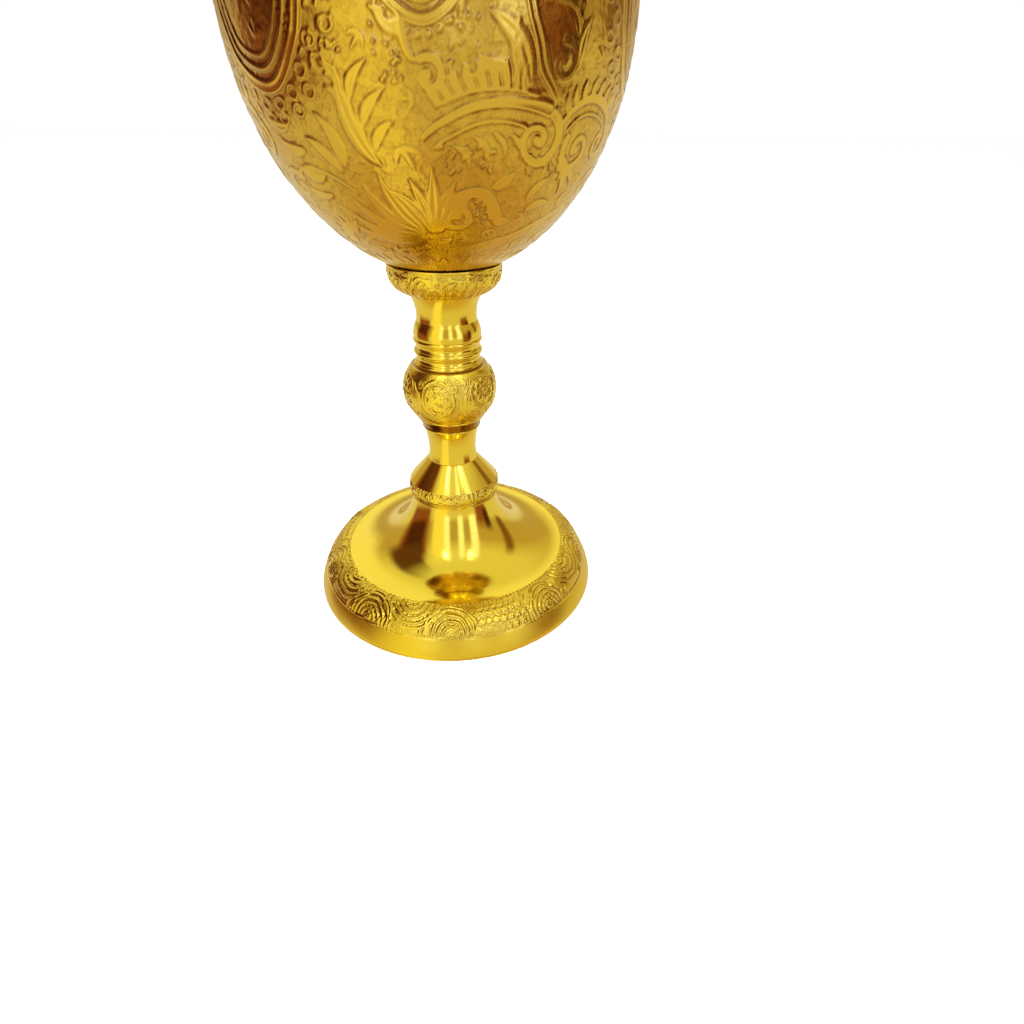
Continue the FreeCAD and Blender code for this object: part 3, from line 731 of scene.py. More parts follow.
def make_foot():
    """Spun foot: satin skirt, chased border, polished trumpet, and a plain underside."""
    edge, hub = reach("foot"), high("foot") - SPIGOT
    skirt_top, border_top, hub_radius = (38.2, 5.4), (30.8, 11.0), 11.4
    skirt_curve, border_curve, trumpet_curve = 16, 8.4, 19
    edge_height, under, under_hub, under_border = 1.0, hub - SEAT_WALL, 10.44, (37.07, 5.0)
    steps = [
        line(edge, edge_height, 0.5, 0.12, "skirt"),
        arc(*skirt_top, skirt_curve, "right", 0.4, 0.05, "skirt"),
        arc(*border_top, border_curve, "right", 0.135, 0.05, "border"),
        arc(hub_radius, hub, trumpet_curve, "left", 0.35, 0.1, "polished"),
        line(HUB_SPIGOT, hub, 1.0, 0.1, "polished"),
        line(HUB_SPIGOT, hub + SPIGOT, 0.6, 0.15),
        line(BORE, hub + SPIGOT, 1.5, 0.1),
        line(BORE, under, 0.8, 0.1),
        line(under_hub, under, 1.5, 0.3),
        arc(border_top[0], border_top[1] - WALL, trumpet_curve + WALL, "right", 0.7, 0.3),
        arc(*under_border, border_curve - WALL, "left", 0.7, 0.3),
        line(edge - WALL, edge_height, 0.8, 0.1),
        line(edge - WALL, 0, 0.5, 0.2),
    ]
    finishes = {"": BRASS, "skirt": SATIN, "border": CHASED, "polished": POLISHED, "corner": POLISHED}
    turned("foot", (edge, 0), steps, 0, 1500, finishes, {"border": border_relief})


def make_foot_base_ring():
    """Flat ring inside the foot's edge. Its inner corners are worn round."""
    width = 3.0
    sides = ((0.4, 0.1), (0.8, 0.25), (0.3, 0.25))
    plain_ring("foot_base_ring", reach("foot_base_ring") - width, sides, 360)


# Stem ------------------------------------


def bell_relief(y, radius):
    """The bell's band: small S scrolls, upright leaves and berries between a plain lip and the dome."""
    band = Relief(BELL_SEED, y, radius, 144, 5, -0.14, 0.85)
    bottom = 1.0
    band.stroke([(-20, bottom - 0.2), (40, bottom - 0.2), (90, bottom - 0.2)], 0.22, 0.26)
    for x in (0, 5.5, 11):
        band.leaf((x, bottom + 0.4), (x + 1.2, bottom + 3.9), 0.42, 0.32, 0.12, ridge)
    for x in (18, 36, 58):
        band.volute(x, bottom + 1.4, 1.15, 90, 420, 0.32, 0.34)
        band.volute(x + 7, bottom + 3.0, 0.95, 270, 400, 0.3, 0.32)
        band.stroke(bezier((x - 1, bottom + 2.5), (x + 3, bottom + 4.4), (x + 6, bottom + 4.2)), 0.27, 0.3)
    for x in (26, 47, 66):
        band.fan(x, bottom + 0.6, 0.3, 2.6, 35, 145, 5, 0.3, 0.3)
        band.flower(x + 2.5, bottom + 3.9, 5, 0.7, 0.28)
    band.scatter((0, 72), (bottom + 0.3, bottom + 4.2), 70, 0.24, 0.24)
    return band.finish((0.25, 1.2, 0.4), (0.012, 0.5), (0.25, 0.35))


def make_bell_collar():
    """Bell on the foot's hub: a scrolled band under a polished dome."""
    bottom, height = low("bell_collar"), high("bell_collar") - low("bell_collar")
    seat = height - SPIGOT
    band_radius, dome_radius, band_top, dome_curve = 12.1, 11.7, 4.6, 200
    inner = dome_radius - CAST_WALL
    steps = [
        line(band_radius, 0.5, 0.2, 0.15, "polished"),
        arc(dome_radius, band_top, 5, "right", 0.1, 0.05, "band"),
        arc(6.6, height, dome_curve, "right", 0.25, 0.12, "polished"),
        *into_bore(SMALL_SPIGOT + PLAY, height, seat, 0.8),
        line(BORE, seat - SEAT_WALL, 0.8),
        line(6.8, seat - SEAT_WALL, 0.8, 0.3),
        arc(inner, band_top, dome_curve, "left", 0.5, 0.3),
        line(inner, SPIGOT, 0.8, 0.3),
        line(HUB_SPIGOT + PLAY, SPIGOT, 0.8),
        line(HUB_SPIGOT + PLAY, 0, 0.8),
    ]
    finishes = {"": BRASS, "polished": POLISHED, "corner": POLISHED, "band": CHASED}
    turned("bell_collar", (band_radius, 0), steps, bottom, 720, finishes, {"band": bell_relief})


def make_lower_spool():
    """Waisted spool."""
    z = low("lower_spool") + SPIGOT
    top = high("lower_spool") - SPIGOT - z
    steps = [
        arc(7.35, top, 20, "left", 0.25, 0.1),
        *into_bore(SMALL_SPIGOT, top, top + SPIGOT),
        *out_of_bore(SMALL_SPIGOT, -SPIGOT, 0, bore_step=1.5),
    ]
    turned("lower_spool", (6.6, 0), steps, z, 360, {"": POLISHED})


def make_knop_base_ring():
    """Bevelled ring with a thin bright lip, and a bead under the knop. Its bevel takes a dark gilt, as
    painted shade under the knop.
    """
    z = low("knop_base_ring")
    top = high("knop_base_ring") - KNOP_SPIGOT_DEPTH - z
    lip_radius, lip_height = 7.6, 0.35
    steps = [
        line(lip_radius, lip_height, 0.1, 0.12),
        line(7.4, lip_height, 0.1, 0.05),
        # The bevel gets the dark gilt: painted shade under the knop.
        line(8.6, top - 0.6, 0.3, 0.06, "bevel"),
        arc(9.0, top, 0.5, "right", 0.08, 0.08),
        *into_bore(KNOP_SPIGOT, top, top + KNOP_SPIGOT_DEPTH),
        *out_of_bore(SMALL_SPIGOT + PLAY, SPIGOT, 0),
    ]
    turned("knop_base_ring", (lip_radius, 0), steps, z, 360, {"": POLISHED, "bevel": PAINTED_SHADE_GILT})


def knop_relief(y, radius):
    """The knop: cartouches of small flowers over swags, with a large pierced flower between them."""
    band = Relief(KNOP_SEED, y, radius, 240, 3, -0.05, 0.8)
    middle = -106
    for shrink, width, height in ((1.0, 0.42, 0.32), (0.78, 0.26, 0.26)):
        for side in (-1, 1):
            belly, shoulder = (middle + side * across * shrink for across in (25, 27))
            tip = (middle + side * 2, 5.8 + 7.0 * shrink)
            band.stroke(bezier((middle, 3.6), (belly, 4.6), (shoulder, 12.0), tip), width, height)
        band.volute(middle - 22 * shrink, 11.4, 1.1, 0, 420, 0.3, 0.3)
        band.volute(middle + 22 * shrink, 10.9, 1.0, 180, -420, 0.3, 0.3)
    for x, height in ((-9, 9.6), (0, 10.8), (9, 9.8), (-5, 7.8), (4, 8.4), (11, 7.6), (0, 6.2), (-10, 7.0),
                      (7, 5.6)):
        band.flower(middle + x, height, 6, 1.15, 0.3)
        band.hole(middle + x + 4.0, height - 0.9, 0.42, 0.2)
    band.scatter((middle - 15, middle + 15), (5.2, 11.4), 40, 0.28, 0.24)
    for drop, width in ((0.0, 0.3), (0.9, 0.22), (1.7, 0.18)):
        swag = bezier((middle - 30, 6.4 - drop), (middle - 20, 1.9 - drop * 0.5),
                      (middle + 20, 1.9 - drop * 0.5), (middle + 30, 6.4 - drop))
        band.stroke(swag, width, 0.24)
    rose = (-43, 9.4)
    band.oval(*rose, 4.1, 3.7, 0.34, 0.3)
    for angle in np.radians(np.arange(0, 360, 45)):
        place = band.at(*rose, 2.5 * math.cos(angle), 2.4 * math.sin(angle))[0]
        band.bead(*place, 0.95, 0.34)
        gap = angle + math.radians(22.5)
        band.hole(*band.at(*rose, 1.7 * math.cos(gap), 1.6 * math.sin(gap))[0], 0.42, 0.22)
    band.bead(*rose, 1.0, 0.36, 0.6)
    band.fan(*rose, 4.3, 6.4, 200, 340, 6, 0.42, 0.26)
    for x, lean in ((-72, 1), (-66, 1), (-20, -1), (-14, -1)):
        band.leaf((x, 3.2), (x + 7 * lean, 11.5), 0.85, 0.28, 0.15 * lean)
        band.leaf((x + 2 * lean, 5.0), (x + 9 * lean, 8.5), 0.55, 0.24, 0.15 * lean)
    band.fill(500, 1.7, 0.34, 0.22)
    return band.finish((0.25, 1.5, 0.35), (0.012, 0.5), (1.6, 2.2), (0.4, 0.02))


def make_knop():
    """Hollow egg-shaped knop."""
    z = low("knop")
    height = high("knop") - z
    bottom_radius, curve = 9.0, 9.8
    seat, socket = KNOP_SPIGOT_DEPTH, KNOP_SPIGOT + PLAY
    floor = seat + SEAT_WALL
    steps = [
        arc(9.4, height, curve, "right", 0.1, 0.12, "face"),
        *into_bore(socket, height, height - seat, 0.8),
        line(BORE, height - floor, 0.8),
        line(bottom_radius, height - floor, 0.8, 0.3),
        arc(bottom_radius, floor, curve - CAST_WALL, "left", 0.6, 0.3),
        line(BORE, floor, 0.8),
        *out_of_bore(socket, seat, 0, 0.8, 0.8),
    ]
    finishes = {"": BRASS, "face": CHASED, "corner": POLISHED}
    turned("knop", (bottom_radius, 0), steps, z, 720, finishes, {"face": knop_relief})


def make_reeded_ring():
    """Three reeds with two hollows between them, and a fine step at the edge of each hollow."""
    z = low("reeded_ring") + KNOP_SPIGOT_DEPTH
    top = high("reeded_ring") - KNOP_SPIGOT_DEPTH - z
    r, step, reed_curve = 8.3, 0.12, 0.62
    steps = []
    for first in (1.0, 3.9):
        steps += [
            arc(r - 0.06, first - 0.04, reed_curve, "right", 0.08, 0.05),
            line(r - step, first + 0.05, 0.05, 0.03),
            line(r - step, first + 0.22, 0.06, 0.03),
            arc(r - step, first + 1.68, 0.95, "left", 0.08, 0.03),
            line(r - step, first + 1.85, 0.06, 0.03),
            line(r - 0.06, first + 1.94, 0.05, 0.03),
        ]
    steps += [
        arc(r - 0.1, top, reed_curve, "right", 0.08, 0.08),
        *into_bore(KNOP_SPIGOT, top, top + KNOP_SPIGOT_DEPTH),
        *out_of_bore(KNOP_SPIGOT, -KNOP_SPIGOT_DEPTH, 0, bore_step=1.5),
    ]
    turned("reeded_ring", (r - 0.1, 0), steps, z, 360, {"": POLISHED})


def make_upper_spool():
    """Conical swell with a concave neck above a crisp edge."""
    z = low("upper_spool")
    top = high("upper_spool") - z
    sleeve_depth = 6.0
    steps = [
        arc(7.35, 4.0, 6.5, "right", 0.2, 0.08),
        arc(8.8, top, 10, "left", 0.25, 0.1),
        *into_bore(SLEEVE_HOLE, top, top - sleeve_depth),
        *out_of_bore(KNOP_SPIGOT + PLAY, KNOP_SPIGOT_DEPTH, 0),
    ]
    turned("upper_spool", (8.3, 0), steps, z, 360, {"": POLISHED})


def calyx_relief(y, radius):
    """The collar: faint upright lobes below, and a flowing band of scrolls and leaf tips under the lip."""
    band = Relief(CALYX_SEED, y, radius, 120, 6, -0.05, 0.7)
    for x in np.arange(4, 60, 8):
        band.leaf((x, 0.6), (x + 1.5, 5.2), 0.62, 0.2, 0.1, ridge)
    for x in (0, 30):
        wave = bezier((x - 6, 4.6), (x + 2, 8.2), (x + 12, 8.0), (x + 16, 5.4))
        band.stroke(wave, 0.42, 0.34, double_line)
        band.volute(x + 14, 6.0, 1.2, 60, -400, 0.34, 0.34)
        band.stroke(bezier((x + 14, 7.4), (x + 19, 4.2), (x + 24, 4.4), (x + 27, 6.8)), 0.34, 0.3)
        band.bead(x + 22, 7.0, 0.75, 0.34, 0.6)
        band.leaf((x + 4, 4.8), (x + 10, 6.6), 0.5, 0.3, 0.2)
        band.leaf((x + 18, 8.0), (x + 26, 7.9), 0.4, 0.28, 0.1)
    band.scatter((0, 60), (5.0, 8.0), 30, 0.26, 0.22)
    return band.finish((0.25, 1.5, 0.4), (0.012, 0.5), (0.8, 0.2))


def make_calyx_collar():
    """Shallow relief cup under the bowl."""
    z = low("calyx_collar")
    top = high("calyx_collar") - z
    r, bottom_radius = reach("calyx_collar"), 8.8
    shoulder, curve = 5.2, 5
    steps = [
        arc(r - 0.1, shoulder, curve, "right", 0.1, 0.0, "face"),
        line(r, top - 0.35, 0.1, 0.0, "face"),
        line(r, top, 0.12, 0.15, "lip"),
        line(r - 0.6, top, 0.2, 0.12, "lip"),
        line(r - WALL, shoulder, 0.4, 0.2),
        arc(bottom_radius, WALL, curve - WALL, "left", 0.5, 0.3),
        line(SLEEVE_HOLE, WALL, 0.8),
        line(SLEEVE_HOLE, 0, 0.6),
    ]
    finishes = {"": BRASS, "face": CHASED, "lip": CHASED, "corner": POLISHED}
    turned("calyx_collar", (bottom_radius, 0), steps, z, 720, finishes, {"face": calyx_relief})


# Bowl ------------------------------------


def scroll_group(band):
    """One side of the bowl's main scrollwork: C scrolls with an acanthus fringe, leaf sprays and curls."""
    top = bezier((-94, 47.2), (-84, 52.6), (-70, 53.2), (-59.5, 51.4))
    band.stroke(top, np.linspace(0.55, 1.15, len(top)), 0.34, double_line)
    inner = bezier((-91, 45.6), (-83, 49.6), (-73, 50.4), (-65.5, 48.6))
    band.stroke(inner, 0.45, 0.26)
    for x, y in ((-86, 46.2), (-81, 47.4), (-76, 47.9), (-71, 47.6)):
        band.leaf((x, y), (x + 4.5, y - 4.2), 0.62, 0.24, 0.15)
    crest = bezier((-90, 51.6), (-82, 54.0), (-72, 54.6), (-64, 53.4))
    band.stroke(crest, 0.42, 0.26)
    band.fringe(crest[1:-4], 9, 3.6, 0.82, 0.32, -0.25)
    for leaf in (
        ((-66, 54.5), (-78, 63.0), 1.9, 0.32, -0.12),
        ((-70, 55.5), (-70.5, 62.4), 1.4, 0.3, 0.1),
        ((-74, 57.0), (-80.5, 58.2), 1.0, 0.28, 0.2),
        ((-54.5, 60.5), (-60.5, 64.5), 1.0, 0.28, -0.2),
        ((-52, 56.5), (-49.5, 64.0), 1.2, 0.3, 0.18),
        ((-52.5, 44.0), (-45.5, 37.0), 1.3, 0.3, 0.22),
        ((-49.0, 42.0), (-40.0, 38.5), 1.0, 0.28, 0.2),
    ):
        band.leaf(*leaf)
    for curl in (
        (-61.5, 46.6, 4.9, 62, -470, 1.0, 0.34),
        (-57.2, 57.4, 3.1, 100, -420, 0.72, 0.32),
        (-45, 45.2, 3.8, 150, 440, 0.85, 0.34),
        (-33, 46.2, 3.2, 70, -430, 0.75, 0.32),
    ):
        band.volute(*curl)
    for shift in (0.0, 1.9):
        stem = bezier((-71 + shift, 67), (-66 + shift, 62), (-66 + shift, 57), (-58 + shift, 52.6))
        band.stroke(stem, 0.45, 0.3)
    right = bezier((-54, 49.4), (-50, 53.6), (-40, 54.2), (-31.5, 50.2))
    band.stroke(right, np.linspace(0.6, 1.0, len(right)), 0.34, double_line)
    band.stroke(bezier((-51.5, 48.2), (-48, 51.2), (-40, 51.6), (-33, 48.4)), 0.4, 0.26)
    band.fringe(right[4:-4], 7, 3.0, 0.7, 0.28, 0.3)


def medallions(band):
    """Two oval medallions: a large one with nested frames, and a slender one with a beaded edge."""
    x, y = -137.5, 69.5
    for size in ((12.0, 15.6, 1.05, 0.42, double_line), (9.6, 13.2, 0.5, 0.32), (7.9, 11.5, 0.38, 0.26)):
        band.oval(x, y, *size)
    band.fan(x, y, 1.6, 6.2, 0, 324, 10, 1.0, 0.3)
    band.flower(x, y, 8, 2.1, 0.34)
    for ring, count in ((14.6, 22), (17.0, 24)):
        angles = np.radians(np.linspace(0, 360, count, endpoint=False) + (ring > 16) * 7)
        for place in band.at(x, y, ring * np.cos(angles), (ring + 3.4) * np.sin(angles)):
            band.oval(*place, 1.15, 0.95, 0.3, 0.24)
    x, y = -92.5, 73.5
    for size in ((7.6, 11.6, 0.85, 0.44, double_line), (5.7, 9.6, 0.4, 0.3)):
        band.oval(x, y, *size)
    band.oval_beads(x, y, 9.2, 13.2, 34, 0.55, 0.32)
    band.fan(x, y, 1.0, 4.6, 0, 315, 8, 0.75, 0.3)
    band.flower(x, y, 6, 1.4, 0.34)


def hook(band):
    """The curl that hangs under the slender medallion."""
    stem = bezier((-97.5, 61.8), (-97.0, 58.5), (-95.6, 57.0), (-94.0, 57.6))
    band.stroke(stem, np.linspace(0.9, 0.6, len(stem)), 0.4)
    band.volute(-91.6, 55.3, 2.6, 120, -400, 0.75, 0.42)
    band.leaf((-97.5, 60.5), (-102.0, 64.0), 0.9, 0.3, 0.2)


def foliage(band):
    """The big leaves between the scrolls and the palmette."""
    band.leaf((-106.5, 42.5), (-113.0, 57.0), 1.7, 0.32, 0.12)
    for x, y, dx, dy in ((-107, 45, 6, 4.5), (-109, 48.5, 6.5, 5), (-111, 52, 5, 5), (-109, 47, -6, 3),
                         (-111, 50.5, -6, 3.2), (-112.5, 53.5, -5, 3.6)):
        band.leaf((x, y), (x + dx, y + dy), 0.95, 0.3, 0.12 if dx > 0 else -0.12)
    band.leaf((-118, 42.0), (-123, 50.5), 1.4, 0.3, -0.15)
    band.leaf((-120, 41.0), (-129, 46.5), 1.3, 0.28, -0.15)
    for x, y, reach_x in ((-128, 40.5, -11), (-131, 44.5, -10), (-134, 48.0, -9), (-129, 37.0, -12)):
        band.leaf((x, y), (x + reach_x, y + 1.8), 1.05, 0.28, 0.16)
    band.volute(-144.5, 38.0, 3.0, 40, 420, 0.75, 0.3)
    band.stroke(bezier((-141, 40.5), (-134, 43.5), (-124, 41.0), (-118, 37.5)), 0.5, 0.28)


def palmette(band):
    """The shell at the bottom of the bowl, with long leaves to its left and a curled stem to its right."""
    for shift in (-6.0, -3.0, 0.0, 3.0, 6.0):
        tip = (-92.6 + shift * 2.4, 42.6 - abs(shift) * 0.7)
        band.leaf((-92.4 + shift * 0.3, 29.4), tip, 1.5, 0.34, shift * 0.02)
    for *tip, bend in ((-108, 41.5, 0.12), (-115, 39.6, 0.16), (-121, 36.8, 0.19), (-125, 33.6, 0.2),
                       (-127, 30.4, 0.18)):
        band.leaf((-96.0, 29.6), tip, 1.5, 0.32, bend)
    band.stroke(bezier((-97, 28.0), (-108, 30.0), (-122, 28.4), (-131, 25.2)), 0.6, 0.3, double_line)
    band.fan(-131, 27.0, 1.2, 5.2, 60, 190, 7, 0.7, 0.28, 0.12)
    band.volute(-84.2, 33.2, 3.2, 130, 420, 0.95, 0.36)
    stem = bezier((-88.5, 35.4), (-84, 39.6), (-74, 39.0), (-70.5, 33.8))
    band.stroke(stem, np.linspace(0.9, 1.5, len(stem)), 0.34, double_line)
    for x, y, dx, dy in ((-74, 39.0, 7, 2.6), (-70.5, 33.0, 7, -1.2)):
        band.leaf((x, y), (x + dx, y + dy), 1.25, 0.3, -0.12)
    band.leaf((-58, 34.0), (-47.5, 35.2), 1.0, 0.26, 0.15)
    band.leaf((-59, 36.0), (-52.0, 40.6), 1.0, 0.26, 0.15)


def ribbon(band):
    """The ribbed ribbon that rises under the scrolls."""
    path = bezier((-90, 23.2), (-72, 24.0), (-54, 28.0), (-38, 32.4))
    for shift in (-1.15, 1.15):
        band.stroke(path + (0, shift), 0.3, 0.28)
    for x, y in path[2:-2]:
        band.stroke([(x - 0.4, y - 1.0), (x + 0.4, y + 1.0)], 0.26, 0.2)


def bowl_relief(y, radius):
    """The bowl's embossing: medallions, C scrolls, foliage, a palmette and a ribbed ribbon."""
    band = Relief(BOWL_SEED, y, radius, 400, 3, -0.07, 0.5)
    for band.flip in (None, 71.5):
        scroll_group(band)
        hook(band)
        foliage(band)
    band.flip = None
    palmette(band)
    ribbon(band)
    medallions(band)
    for x in np.arange(-150, -30, 7.5):
        band.leaf((x, 12.5), (x, 21.5), 1.5, 0.22)
        band.leaf((x + 3.75, 13.5), (x + 3.75, 18.5), 1.0, 0.18)
    for patch_of_beads in (
        ((-90, -74), (41.5, 46), 34),
        ((-82, -72), (31, 36.5), 30),
        ((-126, -112), (55, 66), 46),
        ((-88, -80), (55, 66), 30),
        ((-104, -98), (54, 64), 22),
        ((-64, -48), (40, 46), 24),
    ):
        band.scatter(*patch_of_beads, 0.36, 0.44)
    band.fill(500, 4.6, 0.52, 0.24)
    band.fill(1800, 2.6, 0.3, 0.22)
    for x in np.arange(-150, -30, 2.4):
        band.bead(x, y[-1] - 2.2, 0.55, 0.26)
    band.stroke([(-170, y[-1] - 1.0), (-110, y[-1] - 1.0), (-50, y[-1] - 1.0)], 0.4, 0.22)
    return band.finish((0.3, 4.0, 0.3), (0.007, 0.3), (2.0, 0.6), (0.75, 0.016))


POLE = 0.02  # the radius at which the outline's two ends stop, just short of the axis


def make_bowl():
    """Embossed bowl with a plain rounded lip, and a smooth inside. Its outline runs from pole to pole."""
    z = low("bowl")
    rim = high("bowl") - z
    radius, depth = 38.3, 46.0
    rise, inset, rim_wall, round_off = rim - depth, 1.6, 1.4, 0.35
    side = (rise**2 + inset**2) / (2 * inset)
    embossed_rise = 31.2
    at_top = radius - side + math.sqrt(side**2 - embossed_rise**2)
    foot_angle = math.radians(12)
    foot_of_relief = (radius * math.sin(foot_angle), depth - depth * math.cos(foot_angle))
    lip_outer, lip_inner = radius - inset, radius - inset - rim_wall
    steps = [
        ellipse(*foot_of_relief, radius, depth, depth, 0.8, 0.0),
        ellipse(radius, depth, radius, depth, depth, 0.2, 0.0, "embossed"),
        arc(at_top, depth + embossed_rise, side, "right", 0.2, 0.0, "embossed"),
        arc(lip_outer, rim - round_off, side, "right", 0.6, 0.0, "lip"),
        arc(lip_outer - round_off, rim, round_off, "right", 0.07, 0.0, "lip"),
        line(lip_inner + round_off, rim, 0.2, 0.0, "lip"),
        arc(lip_inner, rim - round_off, round_off, "right", 0.07, 0.05, "lip"),
        arc(radius - WALL, depth, side, "left", 1.2, 0.1, "inside"),
        ellipse(POLE, WALL, radius - WALL, depth - WALL, depth, 1.2, 0.0, "inside"),
    ]
    finishes = {"": EMBOSSED, "embossed": EMBOSSED, "lip": INSIDE, "inside": INSIDE, "corner": INSIDE}
    turned("bowl", (POLE, 0), steps, z, 1200, finishes, {"embossed": bowl_relief}, closed=False)


# Fastening -------------------------------

THREAD_PITCH, THREAD_STEP = 0.8, 0.1


def thread(z, angle, radius, depth):
    """A right-hand thread's radius at each height and angle, with flats on its crests and in its roots."""
    phase = (z / THREAD_PITCH - angle / (2 * math.pi)) % 1
    return radius - depth * np.clip(np.abs(2 * phase - 1) * 1.35 - 0.15, 0, 1)


def make_tie_rod():
    """Threaded rod with chamfered ends."""
    bottom, top = low("tie_rod"), high("tie_rod")
    chamfer = 0.6
    z = np.arange(bottom, top + THREAD_STEP / 2, THREAD_STEP)[:, None]
    angle = np.linspace(0, 2 * math.pi, 64, endpoint=False)[None, :]
    nearest_end = np.minimum(z - bottom, top - z)
    r = np.minimum(thread(z, angle, ROD, 0.45), ROD - chamfer + np.maximum(nearest_end, 0))
    height = np.broadcast_to(np.clip(z, bottom, top), r.shape)
    rings = np.stack([r * np.cos(angle), r * np.sin(angle), height], -1)
    piece = skin("visual_tie_rod", rings, True)
    piece.data.materials.append(ZINC)
    stand_for(piece, "tie_rod")


def make_hub_washer():
    """Plain washer that spreads the nut's load."""
    plain_ring("hub_washer", BORE, ((0.4, 0.2), (0.8, 0.1), (0.4, 0.2)), 240)


def make_foot_nut():
    """Hexagon nut: corners cut by a chamfer cone at both faces, and a threaded bore."""
    bottom, top = low("foot_nut"), high("foot_nut")
    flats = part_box("foot_nut")[1][1] / MM
    chamfer, cone_slope, edge_round, countersink = 0.5, 1.75, 0.12, 0.5
    angle = np.linspace(0, 2 * math.pi, 240, endpoint=False)[None, :]
    hexagon = flats / np.cos((angle % (math.pi / 3)) - math.pi / 6)
    mouth = np.full_like(angle, ROD + countersink)
    rings = []
    for z in np.concatenate([np.linspace(bottom, bottom + chamfer, 7), np.linspace(top - chamfer, top, 7)]):
        near = min(z - bottom, top - z)
        r = np.minimum(hexagon, flats - 0.1 + near * cone_slope) - edge_round * max(0, 1 - near / 0.08)
        rings.append((r, z))
    rings.append((mouth, top))
    for z in np.arange(top - 0.3, bottom + 0.25, -THREAD_STEP):
        rings.append((thread(z, angle, ROD + 0.02, 0.4), z))
    rings.append((mouth, bottom))
    stack = [np.stack([r * np.cos(angle), r * np.sin(angle), np.full_like(r, z)], -1)[0] for r, z in rings]
    piece = skin("visual_foot_nut", np.array(stack))
    piece.data.materials.append(ZINC)
    stand_for(piece, "foot_nut")


def finish_carried_nodes():
    """Materials for the CAD solids that stay as they are, all of them hidden inside the stem."""
    for node, material in (("cup_washer", FIBRE), ("bowl_socket", BRASS), ("spring_washer", SPRING)):
        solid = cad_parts[node]
        solid.data.materials.clear()
        solid.data.materials.append(material)


# Studio ----------------------------------


def patch(graph, direction, under, azimuth, half, lowest, highest, soft, colour):
    """Paints a soft-edged patch of the room over the colour under it. Angles are in degrees."""
    turn = {"Vector": direction, "Angle": math.radians(-azimuth)}
    ahead = graph.node("VectorRotate", turn, rotation_type="Z_AXIS").outputs["Vector"]
    x, y, z = graph.node("SeparateXYZ", {"Vector": ahead}).outputs
    aside = graph.math("DEGREES", graph.math("ABSOLUTE", graph.math("ARCTAN2", y, x)))
    share = graph.spread(aside, half + soft / 2, half - soft / 2)
    elevation = graph.math("DEGREES", graph.math("ARCSINE", z))
    share = graph.times(share, graph.spread(elevation, lowest - soft / 2, lowest + soft / 2))
    share = graph.times(share, graph.spread(elevation, highest + soft, highest - soft))
    return graph.mix(share, under, colour)


TABLE_BELOW, TABLE = (0.72, 0.52, 0.3), (0.84, 0.78, 0.6)
WALLS, CEILING = (0.58, 0.46, 0.28), (0.9, 0.89, 0.66)
DARK_RED, MAROON, BROWN_WOOD = (0.085, 0.022, 0.018), (0.3, 0.1, 0.07), (0.24, 0.12, 0.06)
WINDOW, DAYLIGHT, PALE_WALL = (1.35, 1.5, 2.6), (1.15, 1.09, 0.6), (1.1, 1.1, 0.9)
LAMP, PALE_CLOTH, DARK_WOOD = (9.0, 9.0, 9.0), (0.85, 0.8, 0.5), (0.13, 0.05, 0.03)
# each patch: azimuth, half its width, lowest and highest elevation, softness, all in degrees, and colour
ROOM = (
    (178, 26, -18, 50, 8, MAROON),
    (178, 18, 0, 46, 6, DARK_RED),
    (168, 26, 30, 64, 10, DARK_WOOD),
    (-24, 15, -22, 10, 8, MAROON),
    (-12, 7, -14, 14, 6, DARK_RED),
    (18, 7, -2, 44, 6, BROWN_WOOD),
    (-128, 17, -90, 58, 8, DAYLIGHT),
    (52, 16, -90, -62, 8, PALE_CLOTH),
    (-112, 6, -6, 62, 5, WINDOW),
    (-80, 6, -6, 60, 5, WINDOW),
    (-50, 8, -6, 60, 5, WINDOW),
    (-118, 4, 48, 58, 3, LAMP),
    (-60, 4, 50, 60, 3, LAMP),
    (100, 26, 20, 60, 12, PALE_WALL),
)


def make_world():
    """A pale room to the camera. Metal sees a warm studio with bright windows and dark brown furniture."""
    world = bpy.data.worlds.new("studio")
    bpy.context.scene.world = world
    world.use_nodes = True
    graph = Graph(world.node_tree)
    direction = graph.node("TexCoord").outputs["Generated"]
    height = graph.node("SeparateXYZ", {"Vector": direction}).outputs["Z"]
    colour = graph.mix(graph.spread(height, -0.82, -0.6), TABLE_BELOW, TABLE)
    colour = graph.mix(graph.spread(height, -0.06, 0.08), colour, WALLS)
    colour = graph.mix(graph.spread(height, 0.5, 0.75), colour, CEILING)
    for spot in ROOM:
        colour = patch(graph, direction, colour, *spot)
    seen_in_metal = graph.node("LightPath").outputs["Is Glossy Ray"]
    colour = graph.mix(seen_in_metal, (1.03, 1.03, 1.03), colour)
    background = graph.node("Background", {"Color": colour, "Strength": 1.0})
    graph.close("World", background)


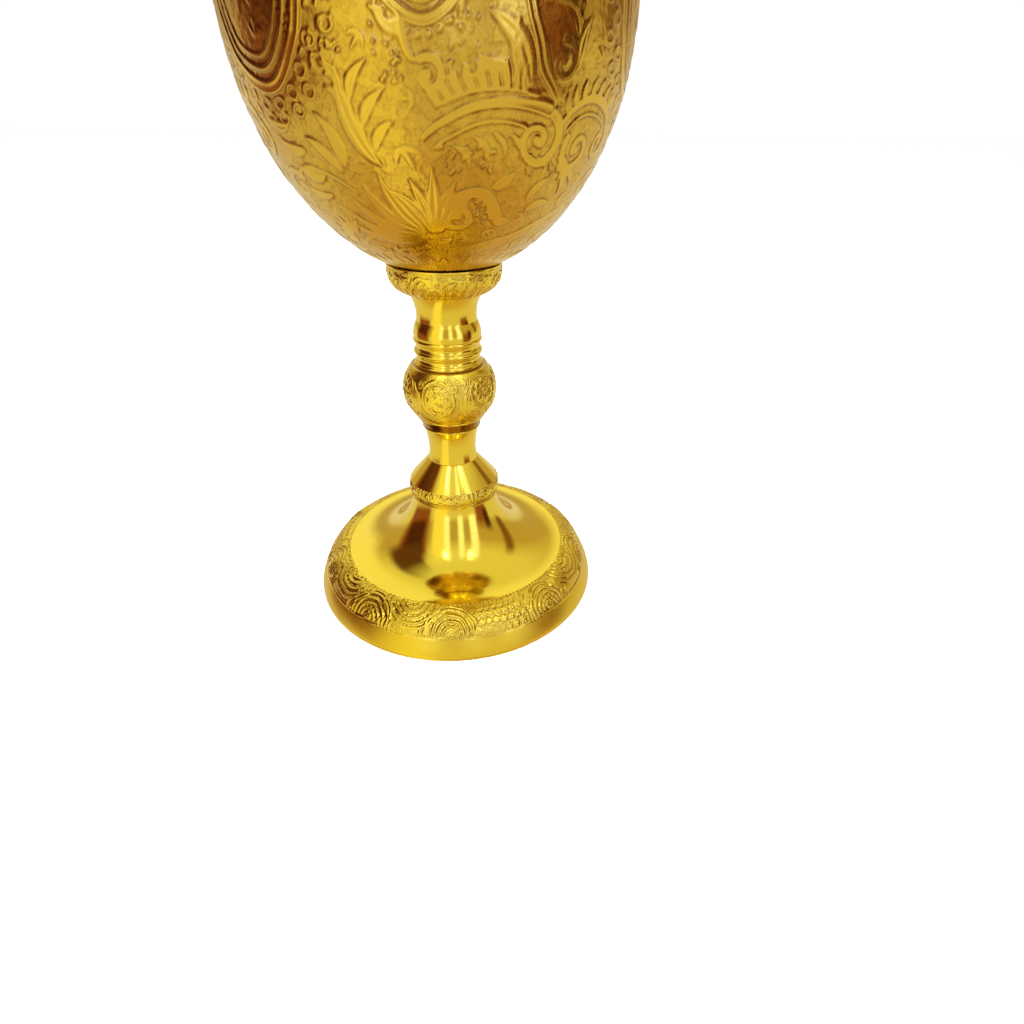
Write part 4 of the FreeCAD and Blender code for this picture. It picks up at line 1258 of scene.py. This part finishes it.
def make_floor():
    """A large pale floor. It is left out of the metal's reflections, where the room's own colours show."""
    mesh = bpy.data.meshes.new("floor")
    half = 6.0
    corners = [(-half, -half, 0), (half, -half, 0), (half, half, 0), (-half, half, 0)]
    mesh.from_pydata(corners, [], [(0, 1, 2, 3)])
    floor = add_object("floor", mesh)
    material, graph = new_material("pale_floor")
    matt = {"Base Color": (0.97, 0.97, 0.97, 1.0), "Roughness": 0.9, "Specular IOR Level": 0.0}
    shader = graph.node("BsdfPrincipled", matt)
    graph.close("Material", shader)
    mesh.materials.append(material)
    floor.visible_glossy = False


def make_lights():
    """Three soft lamps round the chalice."""
    for name, place, size, power in (
        ("key", (-0.35, -0.55, 0.75), 0.45, 9.0),
        ("fill", (0.65, -0.35, 0.55), 0.5, 5.0),
        ("back", (0.2, 0.8, 0.7), 0.6, 6.0),
    ):
        light = bpy.data.lights.new(name, "AREA")
        light.size = size
        light.energy = power
        lamp = add_object(name, light)
        lamp.location = place
        lamp.visible_glossy = False
        lamp.rotation_euler = (Vector((0, 0, 0.07)) - Vector(place)).to_track_quat("-Z", "Y").to_euler()


def make_camera():
    """The camera stands close in front and looks down, with the bowl's upper half above its view."""
    pitch, yaw, roll = math.radians(33.31), math.radians(6.34), math.radians(0.91)
    ahead = Vector((math.sin(yaw) * math.cos(pitch), math.cos(yaw) * math.cos(pitch), -math.sin(pitch)))
    level = Vector((math.cos(yaw), -math.sin(yaw), 0))
    up = level.cross(ahead)
    right = level * math.cos(roll) + up * math.sin(roll)
    above = up * math.cos(roll) - level * math.sin(roll)
    data = bpy.data.cameras.new("camera")
    data.lens = 21.09
    data.sensor_width = 36.0
    data.clip_start = 0.005
    camera = add_object("camera", data)
    turn = Matrix((right, above, -ahead)).transposed().to_4x4()
    camera.matrix_world = Matrix.Translation((0.0002, -0.147, 0.1153)) @ turn
    bpy.context.scene.camera = camera


# The whole scene -------------------------

bpy.context.scene.view_settings.view_transform = "Standard"
make_camera()
make_world()
make_floor()
make_lights()
make_foot()
make_foot_base_ring()
make_bell_collar()
make_lower_spool()
make_knop_base_ring()
make_knop()
make_reeded_ring()
make_upper_spool()
make_calyx_collar()
make_bowl()
make_hub_washer()
make_foot_nut()
make_tie_rod()
finish_carried_nodes()
